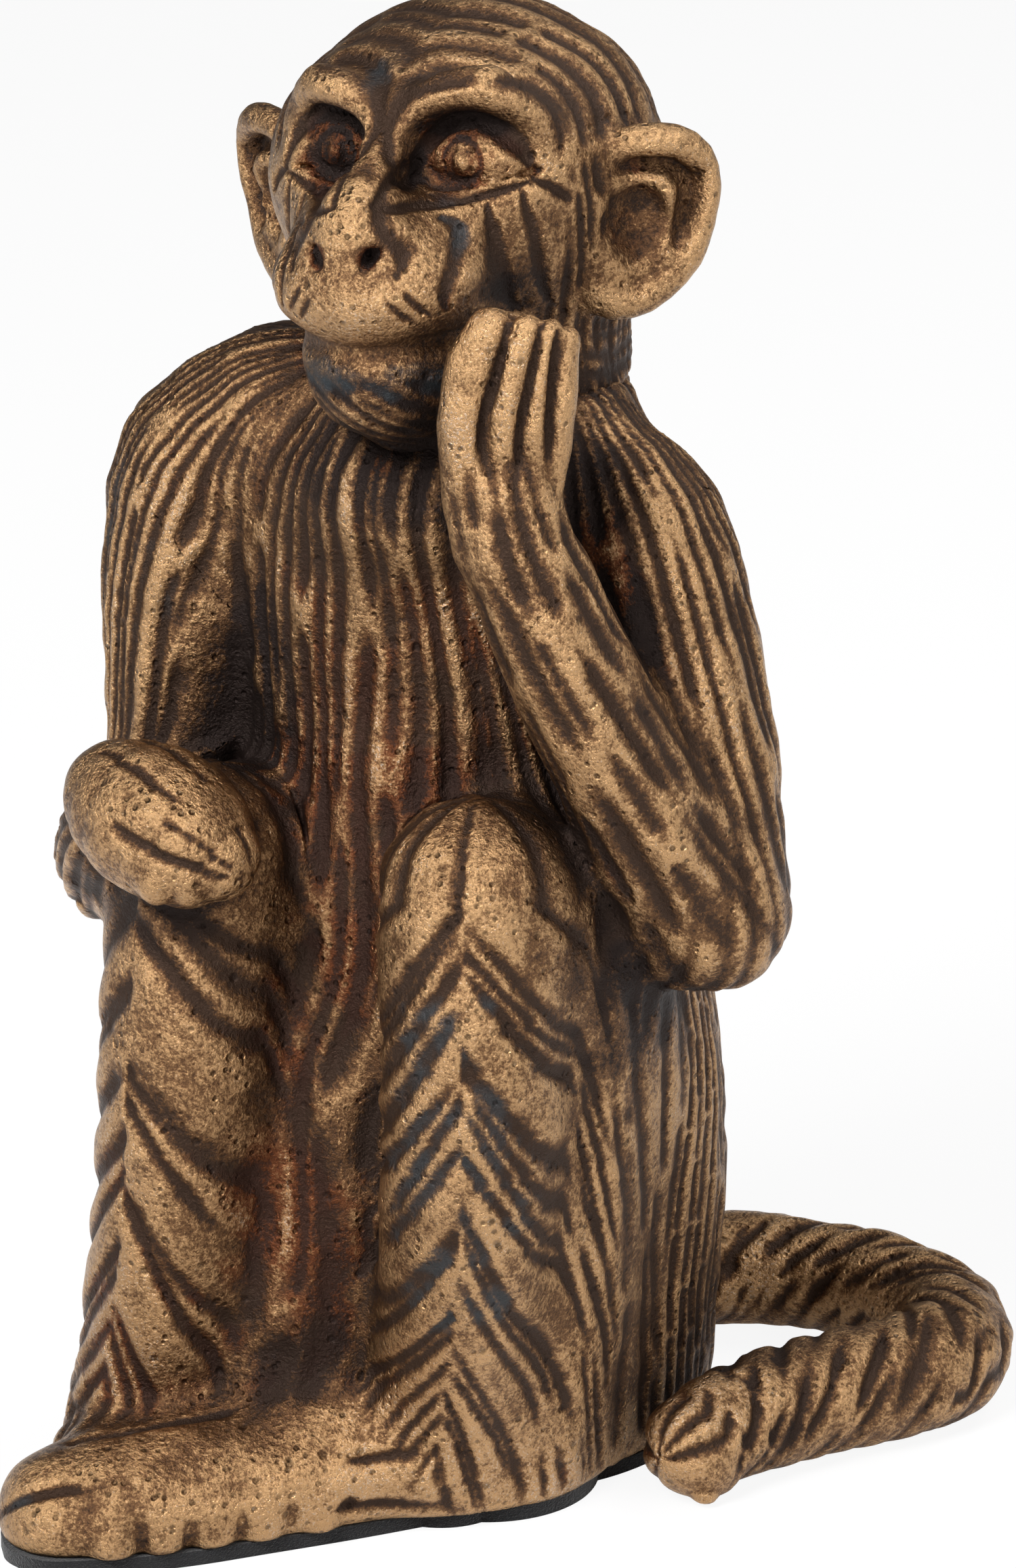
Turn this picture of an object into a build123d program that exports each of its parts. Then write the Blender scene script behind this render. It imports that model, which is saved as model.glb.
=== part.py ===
"""Sitting monkey ornament: hollow sand castings welded into one figure, on a felt pad.

The monkey faces -Y, its left side is +X and the floor is z = 0. Every place on the
figure is a share of the hip width (across), the hip depth (front to back) and the
overall height (up), so a change of one of those carries everything that sits on it.
"""
import math
import os

import numpy as np
from build123d import *

os.makedirs("parts", exist_ok=True)

# Overall sizes
overall_height = 240.0
hip_width = 80.0
hip_depth = 80.0
pad_thickness = 2.5

# Castings
wall_thickness = 4.0
casting_fit = 0.2
lip_length = 3.0
lip_thickness = 1.8

# Joints between the castings
neck_spigot_diameter = 27.0
neck_spigot_length = 7.0
shoulder_spigot_diameter = 9.0
shoulder_spigot_length = 7.0
tail_tenon_diameter = 8.0
tail_tenon_length = 9.0

# Limb thicknesses at their fullest
thigh_thickness = 50.0
shin_thickness = 30.0
foot_width = 25.0
upper_arm_thickness = 29.0
forearm_thickness = 23.0
fist_thickness = 23.5
tail_thickness = 20.0

# Head
head_width = 55.0
head_length = 61.0
head_height = 55.0
muzzle_width = 35.0
muzzle_height = 31.0
nose_width = 14.0
eye_spacing = 22.0
eye_diameter = 10.0
brow_thickness = 6.0
nostril_diameter = 3.6
mouth_gap = 1.8
ear_height = 29.0
ear_width = 21.0
ear_thickness = 6.5
head_turn = 3.0
head_tilt = 3.0

# Hands and toes
hand_width = 21.0
hand_height = 37.0
finger_diameter = 5.6
toe_diameter = 8.0

# Where the castings part, as shares of the overall height and of the hip depth
neck_joint_share = 0.752
seam_foot_share = 0.27
seam_top_share = 0.16

# Up the trunk: height, centre across, centre back, half width, half depth
trunk_shares = (
    (0.00, 0.00, 0.27, 0.475, 0.465),
    (0.12, 0.00, 0.28, 0.495, 0.485),
    (0.25, 0.00, 0.27, 0.495, 0.475),
    (0.42, -0.01, 0.22, 0.46, 0.42),
    (0.58, -0.02, 0.15, 0.43, 0.35),
    (0.69, 0.00, 0.12, 0.40, 0.32),
    (0.75, 0.04, 0.16, 0.30, 0.28),
    (0.83, 0.07, 0.18, 0.27, 0.25),
)

# Along each limb: across, back, up, thickness
left_thigh_shares = (
    (0.22, 0.30, 0.18, 0.76),
    (0.27, 0.12, 0.30, 0.88),
    (0.31, -0.12, 0.41, 0.72),
    (0.31, -0.31, 0.455, 0.50),
)
right_thigh_shares = (
    (-0.22, 0.30, 0.18, 0.76),
    (-0.27, 0.12, 0.30, 0.86),
    (-0.29, -0.12, 0.40, 0.70),
    (-0.29, -0.31, 0.445, 0.50),
)
left_calf_shares = (
    (0.30, -0.10, 0.36, 0.80),
    (0.26, -0.07, 0.20, 0.82),
    (0.17, -0.04, -0.02, 0.72),
)
right_calf_shares = (
    (-0.29, -0.10, 0.35, 0.78),
    (-0.27, -0.10, 0.20, 0.80),
    (-0.22, -0.08, -0.02, 0.74),
)
left_shin_shares = (
    (0.31, -0.31, 0.455, 1.00),
    (0.325, -0.35, 0.36, 0.98),
    (0.31, -0.34, 0.24, 0.92),
    (0.23, -0.245, 0.12, 0.87),
    (0.125, -0.16, -0.02, 0.76),
)
right_shin_shares = (
    (-0.29, -0.31, 0.445, 1.00),
    (-0.295, -0.37, 0.34, 1.00),
    (-0.325, -0.38, 0.22, 0.95),
    (-0.38, -0.365, 0.11, 0.93),
    (-0.395, -0.33, -0.02, 0.94),
)
left_foot_shares = (
    (0.25, -0.10, 0.030, 0.76),
    (0.11, -0.25, 0.045, 0.98),
    (-0.085, -0.445, 0.036, 0.98),
    (-0.272, -0.632, 0.030, 0.97),
    (-0.39, -0.73, 0.024, 0.87),
)
right_foot_shares = (
    (-0.34, -0.20, 0.035, 0.86),
    (-0.38, -0.38, 0.040, 0.90),
    (-0.40, -0.52, 0.030, 0.80),
)
left_arm_shares = (
    (0.33, 0.09, 0.69, 0.97),
    (0.443, 0.09, 0.66, 0.98),
    (0.527, 0.08, 0.596, 0.97),
    (0.592, 0.06, 0.51, 0.89),
    (0.643, 0.01, 0.44, 0.80),
)
left_forearm_shares = (
    (0.64, 0.01, 0.438, 1.08),
    (0.575, -0.13, 0.51, 0.95),
    (0.475, -0.24, 0.61, 0.86),
    (0.395, -0.288, 0.70, 0.77),
)
right_arm_shares = (
    (-0.34, 0.065, 0.71, 1.075),
    (-0.448, 0.035, 0.673, 1.06),
    (-0.493, 0.00, 0.60, 0.98),
    (-0.50, -0.03, 0.51, 0.87),
    (-0.505, -0.08, 0.415, 0.74),
)
right_forearm_shares = (
    (-0.505, -0.08, 0.415, 1.08),
    (-0.505, -0.26, 0.428, 0.99),
    (-0.445, -0.375, 0.463, 0.89),
)
right_fist_shares = (
    (-0.43, -0.43, 0.497, 0.62),
    (-0.38, -0.447, 0.4935, 0.86),
    (-0.318, -0.47, 0.489, 0.99),
    (-0.25, -0.482, 0.482, 0.95),
    (-0.19, -0.49, 0.476, 0.72),
)
tail_shares = (
    (0.10, 0.64, 0.044, 1.03),
    (0.29, 0.855, 0.0385, 0.94),
    (0.49, 0.92, 0.0375, 0.92),
    (0.675, 0.905, 0.0375, 0.93),
    (0.825, 0.815, 0.0385, 0.97),
    (0.877, 0.67, 0.039, 1.00),
    (0.82, 0.535, 0.0385, 0.99),
    (0.712, 0.37, 0.0375, 0.97),
    (0.627, 0.207, 0.0365, 0.95),
    (0.585, 0.055, 0.0345, 0.86),
)

# Places of single features: across, back, up
head_centre_shares = (0.055, 0.155, 0.880)
hand_centre_shares = (0.375, -0.30, 0.785)
left_shoulder_joint_share = 0.655
right_shoulder_joint_share = 0.655

# Round ends of the tubes and hollows, in degrees past the last section
cap_angles = (22.0, 42.0, 60.0, 75.0)
station_share = 0.6
trunk_station = 14.0

# Along the muzzle and the jaw: forward and up in head lengths and heights, then size
muzzle_shares = (
    (0.30, -0.05, 1.12, 1.00),
    (0.46, -0.05, 1.08, 0.92),
    (0.64, -0.12, 0.94, 0.62),
)
jaw_shares = (
    (0.585, -0.365, 0.56),
    (0.48, -0.43, 0.70),
    (0.34, -0.52, 0.80),
    (0.16, -0.62, 0.84),
)
nose_shares = (
    (0.42, 0.26, 0.60),
    (0.52, 0.19, 0.66),
    (0.62, 0.10, 0.88),
    (0.67, 0.04, 0.84),
)
muzzle_end_share = 0.15
face_mass_shares = (0.24, 0.10, 0.93, 0.54, 0.78)

# Round each eye: across in eye spacings, forward and up in head lengths and heights
brow_shares = (
    (0.07, 0.450, 0.25, 0.80),
    (0.26, 0.465, 0.34, 1.00),
    (0.55, 0.425, 0.38, 1.10),
    (0.85, 0.350, 0.345, 1.00),
    (1.04, 0.260, 0.24, 0.80),
)
cheek_shares = (
    (0.20, 0.470, 0.07, 0.60),
    (0.50, 0.440, 0.04, 1.00),
    (0.86, 0.370, 0.07, 0.90),
    (1.04, 0.250, 0.14, 0.60),
)
socket_shares = (0.50, 0.49, 0.19)
socket_size_shares = (0.80, 0.24, 0.25)
eye_forward_share = 0.385
nostril_shares = (0.15, 0.74, 0.015)
mouth_height_share = -0.265
ear_centre_shares = (0.60, 0.02, -0.035)
ear_flare_angle = 38.0
ear_lean_angle = 8.0
ear_edge_share = 0.40
concha_shares = (0.62, 0.68)
concha_depth_share = 0.60
tragus_shares = (0.12, 0.42)
skull_wall = 8.0

# The raised hand: across in hand widths, low and high in hand heights, finger size
finger_shares = (
    (-0.30, -0.42, 0.34, 1.55),
    (-0.02, -0.40, 0.42, 0.95),
    (0.18, -0.40, 0.42, 0.95),
    (0.37, -0.38, 0.38, 0.90),
)
finger_front_share = 0.14
fingertip_share = 0.9
palm_depth_share = 0.62
hand_turn_angle = 24.0

# Toe ends along the left foot, and how deep they are tucked in
toe_place_shares = (0.22, 0.40, 0.56, 0.72, 0.88)
toe_tuck_share = 0.25
toe_rise_share = 1.50
toe_tip_share = 0.60
tail_root_share = 0.50


def place(shares):
    """A point from shares of the hip width, the hip depth and the overall height."""
    across, back, up = shares
    return Vector(across * hip_width, back * hip_depth, up * overall_height)


def smooth_rows(rows, distances, step):
    """Even stations along a smooth curve through rows of numbers at given distances."""
    values = np.array(rows, dtype=float)
    spots = np.array(distances, dtype=float)
    slopes = np.gradient(values, spots, axis=0)
    count = max(int(round((spots[-1] - spots[0]) / step)), 2)
    stations = []
    for spot in np.linspace(spots[0], spots[-1], count + 1):
        index = min(int(np.searchsorted(spots, spot, side="right")) - 1, len(spots) - 2)
        span = spots[index + 1] - spots[index]
        t = (spot - spots[index]) / span
        low = values[index] * (1 + 2 * t) * (1 - t) ** 2 + slopes[index] * span * t * (1 - t) ** 2
        high = values[index + 1] * t * t * (3 - 2 * t) + slopes[index + 1] * span * t * t * (t - 1)
        stations.append(low + high)
    return stations


def directions(centres):
    """The run of a chain of points at each of them, and a side that never twists."""
    runs = []
    for index in range(len(centres)):
        before = centres[max(index - 1, 0)]
        after = centres[min(index + 1, len(centres) - 1)]
        runs.append((after - before).normalized())
    sides = []
    side = Vector(1, 0, 0) if abs(runs[0].Z) > abs(runs[0].X) else Vector(0, 0, 1)
    for run in runs:
        side = (side - run * side.dot(run)).normalized()
        sides.append(side)
    return runs, sides


def round_tube(centres, radii, flat_start=False, flat_end=False):
    """A solid lofted through circles, with ends rounded unless they are kept flat."""
    distances = [0]
    for before, after in zip(centres, centres[1:]):
        distances.append(distances[-1] + (after - before).length)
    rows = [(centre.X, centre.Y, centre.Z, radius) for centre, radius in zip(centres, radii)]
    stations = smooth_rows(rows, distances, max(radii) * station_share)
    centres = [Vector(*row[:3]) for row in stations]
    radii = [row[3] for row in stations]
    runs, sides = directions(centres)
    rings = list(zip(centres, radii, runs, sides))
    start = []
    end = []
    for angle in cap_angles:
        out = math.sin(math.radians(angle))
        shrink = math.cos(math.radians(angle))
        centre, radius, run, side = rings[0]
        start.insert(0, (centre - run * radius * out, radius * shrink, run, side))
        centre, radius, run, side = rings[-1]
        end.append((centre + run * radius * out, radius * shrink, run, side))
    if not flat_start:
        rings = start + rings
    if not flat_end:
        rings = rings + end
    sections = []
    for centre, radius, run, side in rings:
        sections.append(Plane(origin=centre, x_dir=side, z_dir=run) * Circle(radius))
    return loft(sections)


def limb(shares, thickness, inset=0, flat_end=False):
    """A limb along its table of shares, thinner by the inset all round."""
    centres = [place(row[:3]) for row in shares]
    radii = [row[3] * thickness / 2 - inset for row in shares]
    return round_tube(centres, radii, flat_end=flat_end)


def trunk(inset=0):
    """The trunk and neck: a loft through ellipses stacked up the body."""
    heights = [row[0] * overall_height for row in trunk_shares]
    sections = []
    for up, across, back, half_width, half_depth in smooth_rows(
        trunk_shares, heights, trunk_station
    ):
        centre = place((across, back, up))
        outline = Ellipse(half_width * hip_width - inset, half_depth * hip_depth - inset)
        sections.append(Plane(origin=centre, z_dir=(0, 0, 1)) * outline)
    return loft(sections)


def slab(low, high):
    """A block wider than the figure between two heights."""
    block = Box(overall_height * 2, overall_height * 2, high - low)
    return Location((0, 0, (low + high) / 2)) * block


def ellipsoid(centre, width, depth, height):
    """A ball stretched to its three sizes."""
    return Location(centre) * scale(Sphere(1), by=(width / 2, depth / 2, height / 2))


def rod(start, run, length, radius):
    """A round rod from a point along a direction."""
    return Plane(origin=start, z_dir=run) * Cylinder(
        radius, length, align=(Align.CENTER, Align.CENTER, Align.MIN)
    )


neck_joint = neck_joint_share * overall_height
seam_foot = seam_foot_share * hip_depth
seam_top = seam_top_share * hip_depth


def behind_seam(offset=0):
    """The space behind the leaning plane where the two body shells meet."""
    lean = math.degrees(math.atan2(seam_foot - seam_top, neck_joint))
    size = overall_height * 2
    block = Box(size, size, size, align=(Align.CENTER, Align.MIN, Align.CENTER))
    return Location((0, seam_foot + offset, 0), (lean, 0, 0)) * block


def shoulder_plane(shares, joint_share):
    """Where an arm parts from its shoulder: a plane square to the upper arm."""
    top = place(shares[0][:3])
    low = place(shares[1][:3])
    run = (low - top).normalized()
    middle = top + run * ((top.Z - joint_share * overall_height) / -run.Z)
    return middle, run


def half_space(origin, run):
    """Everything beyond a plane."""
    size = overall_height * 2
    return Plane(origin=origin, z_dir=run) * Box(
        size, size, size, align=(Align.CENTER, Align.CENTER, Align.MIN)
    )


def front_loft(rows, width, height):
    """A snout-like solid: ellipses facing forward, closed by a rounded end."""
    sections = []
    ends = [(angle, rows[-1]) for angle in cap_angles]
    reach = [row[0] * head_length for row in rows]
    for forward, up, wide, high in smooth_rows(rows, reach, head_length * muzzle_end_share):
        origin = (0, -forward * head_length, up * head_height)
        outline = Ellipse(wide * width / 2, high * height / 2)
        sections.append(Plane(origin=origin, x_dir=(1, 0, 0), z_dir=(0, -1, 0)) * outline)
    for angle, (forward, up, wide, high) in ends:
        out = (forward + muzzle_end_share * math.sin(math.radians(angle))) * head_length
        shrink = math.cos(math.radians(angle))
        origin = (0, -out, up * head_height)
        outline = Ellipse(wide * width / 2 * shrink, high * height / 2 * shrink)
        sections.append(Plane(origin=origin, x_dir=(1, 0, 0), z_dir=(0, -1, 0)) * outline)
    return loft(sections)


def on_head(across, forward, up):
    """A point on the head, before the head is turned, from lengths and shares."""
    return Vector(across, -forward * head_length, up * head_height)


def middle_tube(rows, width):
    """A tube on the middle line of the head."""
    centres = [on_head(0, forward, up) for forward, up, size in rows]
    return round_tube(centres, [size * width / 2 for forward, up, size in rows])


def face_ridge(rows, side, thickness):
    """A raised fold round one eye."""
    centres = [on_head(side * x * eye_spacing, forward, up) for x, forward, up, size in rows]
    return round_tube(centres, [size * thickness / 2 for x, forward, up, size in rows])


def ear(side):
    """A cupped ear: a rounded oval plate, its hollow and the small lobe inside it."""
    across, forward, up = ear_centre_shares
    outline = Plane.XZ * Ellipse(ear_width / 2, ear_height / 2)
    plate = extrude(outline, amount=ear_thickness / 2, both=True)
    plate = fillet(plate.edges(), ear_thickness * ear_edge_share)
    wide, high = concha_shares
    mouth = Plane.XZ.offset(ear_thickness / 2) * Ellipse(ear_width * wide / 2, ear_height * high / 2)
    hollow = extrude(mouth, amount=-ear_thickness * concha_depth_share)
    offset, size = tragus_shares
    lobe = Location((-side * ear_width * offset, 0, 0)) * Sphere(ear_thickness * size)
    centre = on_head(side * across * head_width, forward, up)
    turn = Location(centre, (0, side * ear_lean_angle, side * ear_flare_angle))
    return turn * (plate - hollow + lobe)


def neck_middle():
    """The middle of the flat joint between the neck and the body."""
    up, across, back = trunk_shares[-2][:3]
    return Vector(across * hip_width, back * hip_depth, neck_joint)


def head_place():
    """Where the head sits: its centre, its tilt and its turn."""
    return Location(place(head_centre_shares), (0, -head_tilt, head_turn))


def head_outer():
    """The head as it looks from outside, down to the flat joint at the neck."""
    head = ellipsoid((0, 0, 0), head_width, head_length, head_height)
    forward, up, wide, deep, high = face_mass_shares
    masses = [
        ellipsoid(
            on_head(0, forward, up), head_width * wide, head_length * deep, head_height * high
        ),
        front_loft(muzzle_shares, muzzle_width, muzzle_height),
        middle_tube(jaw_shares, muzzle_width),
        middle_tube(nose_shares, nose_width),
    ]
    across, forward, up = socket_shares
    wide, deep, high = socket_size_shares
    hollows = []
    eyes = []
    for side in (-1, 1):
        masses.append(face_ridge(brow_shares, side, brow_thickness))
        masses.append(face_ridge(cheek_shares, side, brow_thickness))
        socket = on_head(side * across * eye_spacing, forward, up)
        hollows.append(
            ellipsoid(socket, eye_spacing * wide, head_length * deep, head_height * high)
        )
        eyeball = on_head(side * across * eye_spacing, eye_forward_share, up)
        eyes.append(Location(eyeball) * Sphere(eye_diameter / 2))
        out, front, level = nostril_shares
        nostril = on_head(side * out * eye_spacing, front, level)
        hollows.append(Location(nostril) * Sphere(nostril_diameter / 2))
    middle = on_head(0, muzzle_shares[-1][0], mouth_height_share)
    mouth = Location(middle) * Cylinder(muzzle_width / 2, mouth_gap)
    for mass in masses:
        head = head.fuse(mass)
    for hollow in hollows + [mouth]:
        head = head.cut(hollow)
    for eye in eyes:
        head = head.fuse(eye)
    head = head_place() * head
    neck = trunk() & slab(neck_joint, overall_height)
    head = head.fuse(neck)
    for side in (-1, 1):
        head = head.fuse(head_place() * ear(side))
    return head


def head_casting(outer, body):
    """The hollow head with the spigot that drops into the neck of the body."""
    hollow = head_place() * ellipsoid(
        (0, 0, 0),
        head_width - 2 * skull_wall,
        head_length - 2 * skull_wall,
        head_height - 2 * skull_wall,
    )
    middle = neck_middle()
    spigot_radius = neck_spigot_diameter / 2 - casting_fit
    spigot = rod(middle - Vector(0, 0, neck_spigot_length), (0, 0, 1), neck_spigot_length, spigot_radius)
    bore = rod(
        middle - Vector(0, 0, neck_spigot_length),
        (0, 0, 1),
        neck_spigot_length + head_height / 2,
        spigot_radius - wall_thickness,
    )
    return (outer - body).fuse(spigot) - hollow - bore


def foot(shares):
    """A foot: a low tube from heel to toes."""
    return limb(shares, foot_width)


def toes():
    """The row of toe ends along the near edge of the left foot."""
    heel = place(left_foot_shares[1][:3])
    tip = place(left_foot_shares[-1][:3])
    run = (tip - heel).normalized()
    outward = run.cross(Vector(0, 0, 1)).normalized()
    if outward.Y > 0:
        outward = outward * -1
    ends = []
    for share in toe_place_shares:
        middle = heel + (tip - heel) * share
        root = Vector(middle.X, middle.Y, toe_diameter * toe_rise_share + pad_thickness)
        end = root + outward * (foot_width / 2 - toe_diameter * toe_tuck_share)
        end = Vector(end.X, end.Y, toe_diameter * toe_tip_share + pad_thickness)
        ends.append(round_tube([root, end], [toe_diameter / 2, toe_diameter / 2]))
    return ends


def body_outer():
    """The body and legs as they look from outside, filled solid and cut flat below."""
    masses = [
        limb(left_thigh_shares, thigh_thickness, flat_end=True),
        limb(right_thigh_shares, thigh_thickness, flat_end=True),
        limb(left_calf_shares, thigh_thickness, flat_end=True),
        limb(right_calf_shares, thigh_thickness, flat_end=True),
        limb(left_shin_shares, shin_thickness, flat_end=True),
        limb(right_shin_shares, shin_thickness, flat_end=True),
        foot(left_foot_shares),
        foot(right_foot_shares),
    ]
    masses += toes()
    for shares, share in (
        (left_arm_shares, left_shoulder_joint_share),
        (right_arm_shares, right_shoulder_joint_share),
    ):
        middle, run = shoulder_plane(shares, share)
        masses.append(limb(shares, upper_arm_thickness, flat_end=True) - half_space(middle, run))
    body = trunk()
    for mass in masses:
        body = body.fuse(mass)
    return body & slab(pad_thickness, neck_joint)


def body_hollow(inset):
    """The inside of the body, open below and closed by a deck under the neck."""
    return trunk(inset) & slab(-overall_height, neck_joint - wall_thickness)


def seam_lip():
    """The lip inside the back shell that the front shell slides over."""
    core = body_hollow(wall_thickness + casting_fit + lip_thickness)
    tongue = body_hollow(wall_thickness + casting_fit) - core
    root = body_hollow(wall_thickness / 2) - core
    height = slab(pad_thickness, neck_joint - 2 * wall_thickness)
    tongue = (tongue & behind_seam(-lip_length)) - behind_seam(0)
    root = (root & behind_seam(0)) - behind_seam(lip_length)
    return (tongue.fuse(root)) & height


def arm(shares, joint_share, forearm_shares, hand):
    """One arm from its shoulder joint to its hand, with the spigot at the joint."""
    middle, run = shoulder_plane(shares, joint_share)
    solid = limb(shares, upper_arm_thickness, flat_end=True) & half_space(middle, run)
    for piece in [limb(forearm_shares, forearm_thickness)] + hand:
        solid = solid.fuse(piece)
    return solid


def shoulder_spigot(shares, joint_share, grow=0):
    """The spigot of an arm, or with some growth the socket that takes it."""
    middle, run = shoulder_plane(shares, joint_share)
    radius = shoulder_spigot_diameter / 2 + grow
    length = shoulder_spigot_length + grow
    return rod(middle - run * length, run, length, radius)


def raised_hand():
    """The left hand: a palm with a thumb and three fingers side by side."""
    centre = place(hand_centre_shares)
    turn = math.radians(hand_turn_angle)
    across = Vector(math.cos(turn), math.sin(turn), 0)
    front = Vector(math.sin(turn), -math.cos(turn), 0)
    up = Vector(0, 0, 1)
    palm = Location(centre, (0, 0, hand_turn_angle)) * ellipsoid(
        (0, 0, 0), hand_width, hand_width * palm_depth_share, hand_height
    )
    pieces = [palm]
    for out, low, high, size in finger_shares:
        radius = size * finger_diameter / 2
        base = centre + across * out * hand_width + front * hand_width * finger_front_share
        pieces.append(
            round_tube(
                [
                    base + up * low * hand_height,
                    base + up * (low + high) / 2 * hand_height + front * radius / 2,
                    base + up * high * hand_height - front * radius / 2,
                ],
                [radius, radius, radius * fingertip_share],
            )
        )
    return pieces


def tail_casting(body):
    """The tail, which leaves the rump, turns sharply and comes forward on the floor."""
    solid = limb(tail_shares, tail_thickness) & slab(0, overall_height)
    return solid - body


def tail_tenon(grow=0):
    """The tenon that holds the tail in the wall of the body."""
    centres = [place(row[:3]) for row in tail_shares]
    run = (centres[1] - centres[0]).normalized()
    length = tail_tenon_length
    middle = centres[0] + run * tail_root_share * tail_thickness
    return rod(middle - run * length, run, length * 2, tail_tenon_diameter / 2 + grow)


def base_felt(body):
    """The pad glued under the body, to the outline of its rim and feet."""
    flat = [face for face in body.faces() if abs(face.center().Z - pad_thickness) < casting_fit]
    flat = [face for face in flat if abs(face.normal_at().Z) > 1 - 1 / overall_height]
    outline = Face(max(flat, key=lambda face: face.area).outer_wire())
    return extrude(outline, amount=pad_thickness, dir=(0, 0, -1))


def save(solid, name):
    """Write one piece to its own file and print its size and volume."""
    solid = max(solid.solids(), key=lambda part: part.volume)
    box = solid.bounding_box()
    print(name, len(solid.solids()), "solid", round(solid.volume / 1000, 1), "cc", box.size)
    export_step(solid, "parts/" + name + ".step")


body_solid = body_outer()
head_solid = head_outer()
left_hand = raised_hand()
left_arm = arm(left_arm_shares, left_shoulder_joint_share, left_forearm_shares, left_hand)
right_fist = limb(right_fist_shares, fist_thickness)
right_arm = arm(right_arm_shares, right_shoulder_joint_share, right_forearm_shares, [right_fist])

left_arm = (left_arm - body_solid - head_solid).fuse(
    shoulder_spigot(left_arm_shares, left_shoulder_joint_share)
)
right_arm = (right_arm - body_solid).fuse(
    shoulder_spigot(right_arm_shares, right_shoulder_joint_share)
)
pad = base_felt(body_solid)
tail = (tail_casting(body_solid) - pad).fuse(tail_tenon())
head = head_casting(head_solid, body_solid)

shell = body_solid - body_hollow(wall_thickness)
shell -= rod(
    neck_middle() - Vector(0, 0, neck_spigot_length * 2),
    (0, 0, 1),
    neck_spigot_length * 3,
    neck_spigot_diameter / 2,
)
shell -= shoulder_spigot(left_arm_shares, left_shoulder_joint_share, casting_fit)
shell -= shoulder_spigot(right_arm_shares, right_shoulder_joint_share, casting_fit)
shell -= tail_tenon(casting_fit)
back_shell = (shell & behind_seam()).fuse(seam_lip())
front_shell = shell - behind_seam()

save(head, "head_casting")
save(front_shell, "body_front_shell")
save(back_shell, "body_back_shell")
save(left_arm, "left_arm_casting")
save(right_arm, "right_arm_casting")
save(tail, "tail_casting")
save(pad, "base_felt")
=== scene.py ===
"""Sitting monkey ornament in antique gold cast metal, dressed over its CAD frame.

Every form of the figure is a function of a point: how far the point lies outside it.
The forms are blended like clay, a skin is laid over them and settled on the blend, and
chisel strokes are cut into it. Lengths in the tables are mm, the scene is in metres.
"""

import bmesh
import bpy
import numpy as np
from mathutils import Matrix


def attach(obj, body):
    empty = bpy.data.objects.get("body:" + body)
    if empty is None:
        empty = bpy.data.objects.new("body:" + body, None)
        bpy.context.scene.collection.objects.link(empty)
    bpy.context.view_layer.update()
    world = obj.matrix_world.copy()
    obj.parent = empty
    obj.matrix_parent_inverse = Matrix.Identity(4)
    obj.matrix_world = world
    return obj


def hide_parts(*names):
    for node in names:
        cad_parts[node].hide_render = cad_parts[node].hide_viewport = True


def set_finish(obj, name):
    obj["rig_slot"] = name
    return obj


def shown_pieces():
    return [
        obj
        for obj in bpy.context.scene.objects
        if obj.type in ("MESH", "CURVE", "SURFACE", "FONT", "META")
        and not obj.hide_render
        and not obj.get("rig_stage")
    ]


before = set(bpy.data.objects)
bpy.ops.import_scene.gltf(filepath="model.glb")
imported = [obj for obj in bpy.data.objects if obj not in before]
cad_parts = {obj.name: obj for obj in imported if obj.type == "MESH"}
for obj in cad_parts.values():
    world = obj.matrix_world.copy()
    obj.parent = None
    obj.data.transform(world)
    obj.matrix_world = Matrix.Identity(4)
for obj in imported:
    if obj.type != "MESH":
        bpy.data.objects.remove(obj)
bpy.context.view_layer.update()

bl_info = {
    "name": "Sitting monkey ornament",
    "version": (1, 0, 0),
    "blender": (4, 5, 0),
    "location": "3D View > Sidebar > Ornament",
    "description": "Builds a sitting monkey in antique gold cast metal over its CAD frame",
    "category": "Object",
}

MM = 0.001
FIGURE_HEIGHT = 240.0

# Tables, in mm
# Up the trunk: middle across, middle back, height, half width, half depth
TRUNK = (
    (0, 21.6, 0, 38.0, 37.2), (0, 22.4, 28.8, 39.6, 38.8), (0, 21.6, 60, 39.6, 38.0),
    (-0.8, 17.6, 100.8, 36.8, 33.6), (-1.6, 12, 139.2, 34.4, 28.0),
    (0, 9.6, 165.6, 32.0, 25.6), (3.6, 12.8, 180, 25.6, 23.2), (5.6, 14.0, 199.2, 23.6, 21.6),
)
# Along each limb: across, back, up, radius
LEFT_THIGH = ((17.6, 24, 43.2, 19), (21.6, 9.6, 72, 22), (24.8, -9.6, 98.4, 18), (24.8, -24.8, 109.2, 12.5))
RIGHT_THIGH = ((-17.6, 24, 43.2, 19), (-21.6, 9.6, 72, 21.5), (-23.2, -9.6, 96, 17.5), (-23.2, -24.8, 106.8, 12.5))
LEFT_CALF = ((24, -8, 86.4, 20), (20.8, -5.6, 48, 20.5), (13.6, -3.2, -4.8, 18))
RIGHT_CALF = ((-23.2, -8, 84, 19.5), (-23.2, -8, 48, 20), (-17.6, -6.4, -4.8, 18.5))
LEFT_SHIN = (
    (24.8, -24.8, 109.2, 15), (26, -28, 86.4, 14.7), (24.8, -27.2, 57.6, 13.8),
    (18.4, -19.6, 28.8, 13.0), (10, -12.8, -4.8, 11.4),
)
RIGHT_SHIN = (
    (-23.2, -24.8, 106.8, 15), (-23.2, -29.6, 81.6, 14.9), (-25.2, -30.4, 52.8, 14.1),
    (-29.6, -29.2, 26.4, 13.9), (-32.2, -27.4, 8, 15.0), (-32.4, -26.2, -4.8, 14.8),
)
LEFT_FOOT = (
    (20, -8, 7.2, 9.5), (8.8, -20.0, 10.4, 12.2), (-6.8, -35.6, 8.4, 12.2),
    (-21.8, -50.2, 7.0, 12.1), (-31.4, -57.4, 5.8, 10.9),
)
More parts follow.
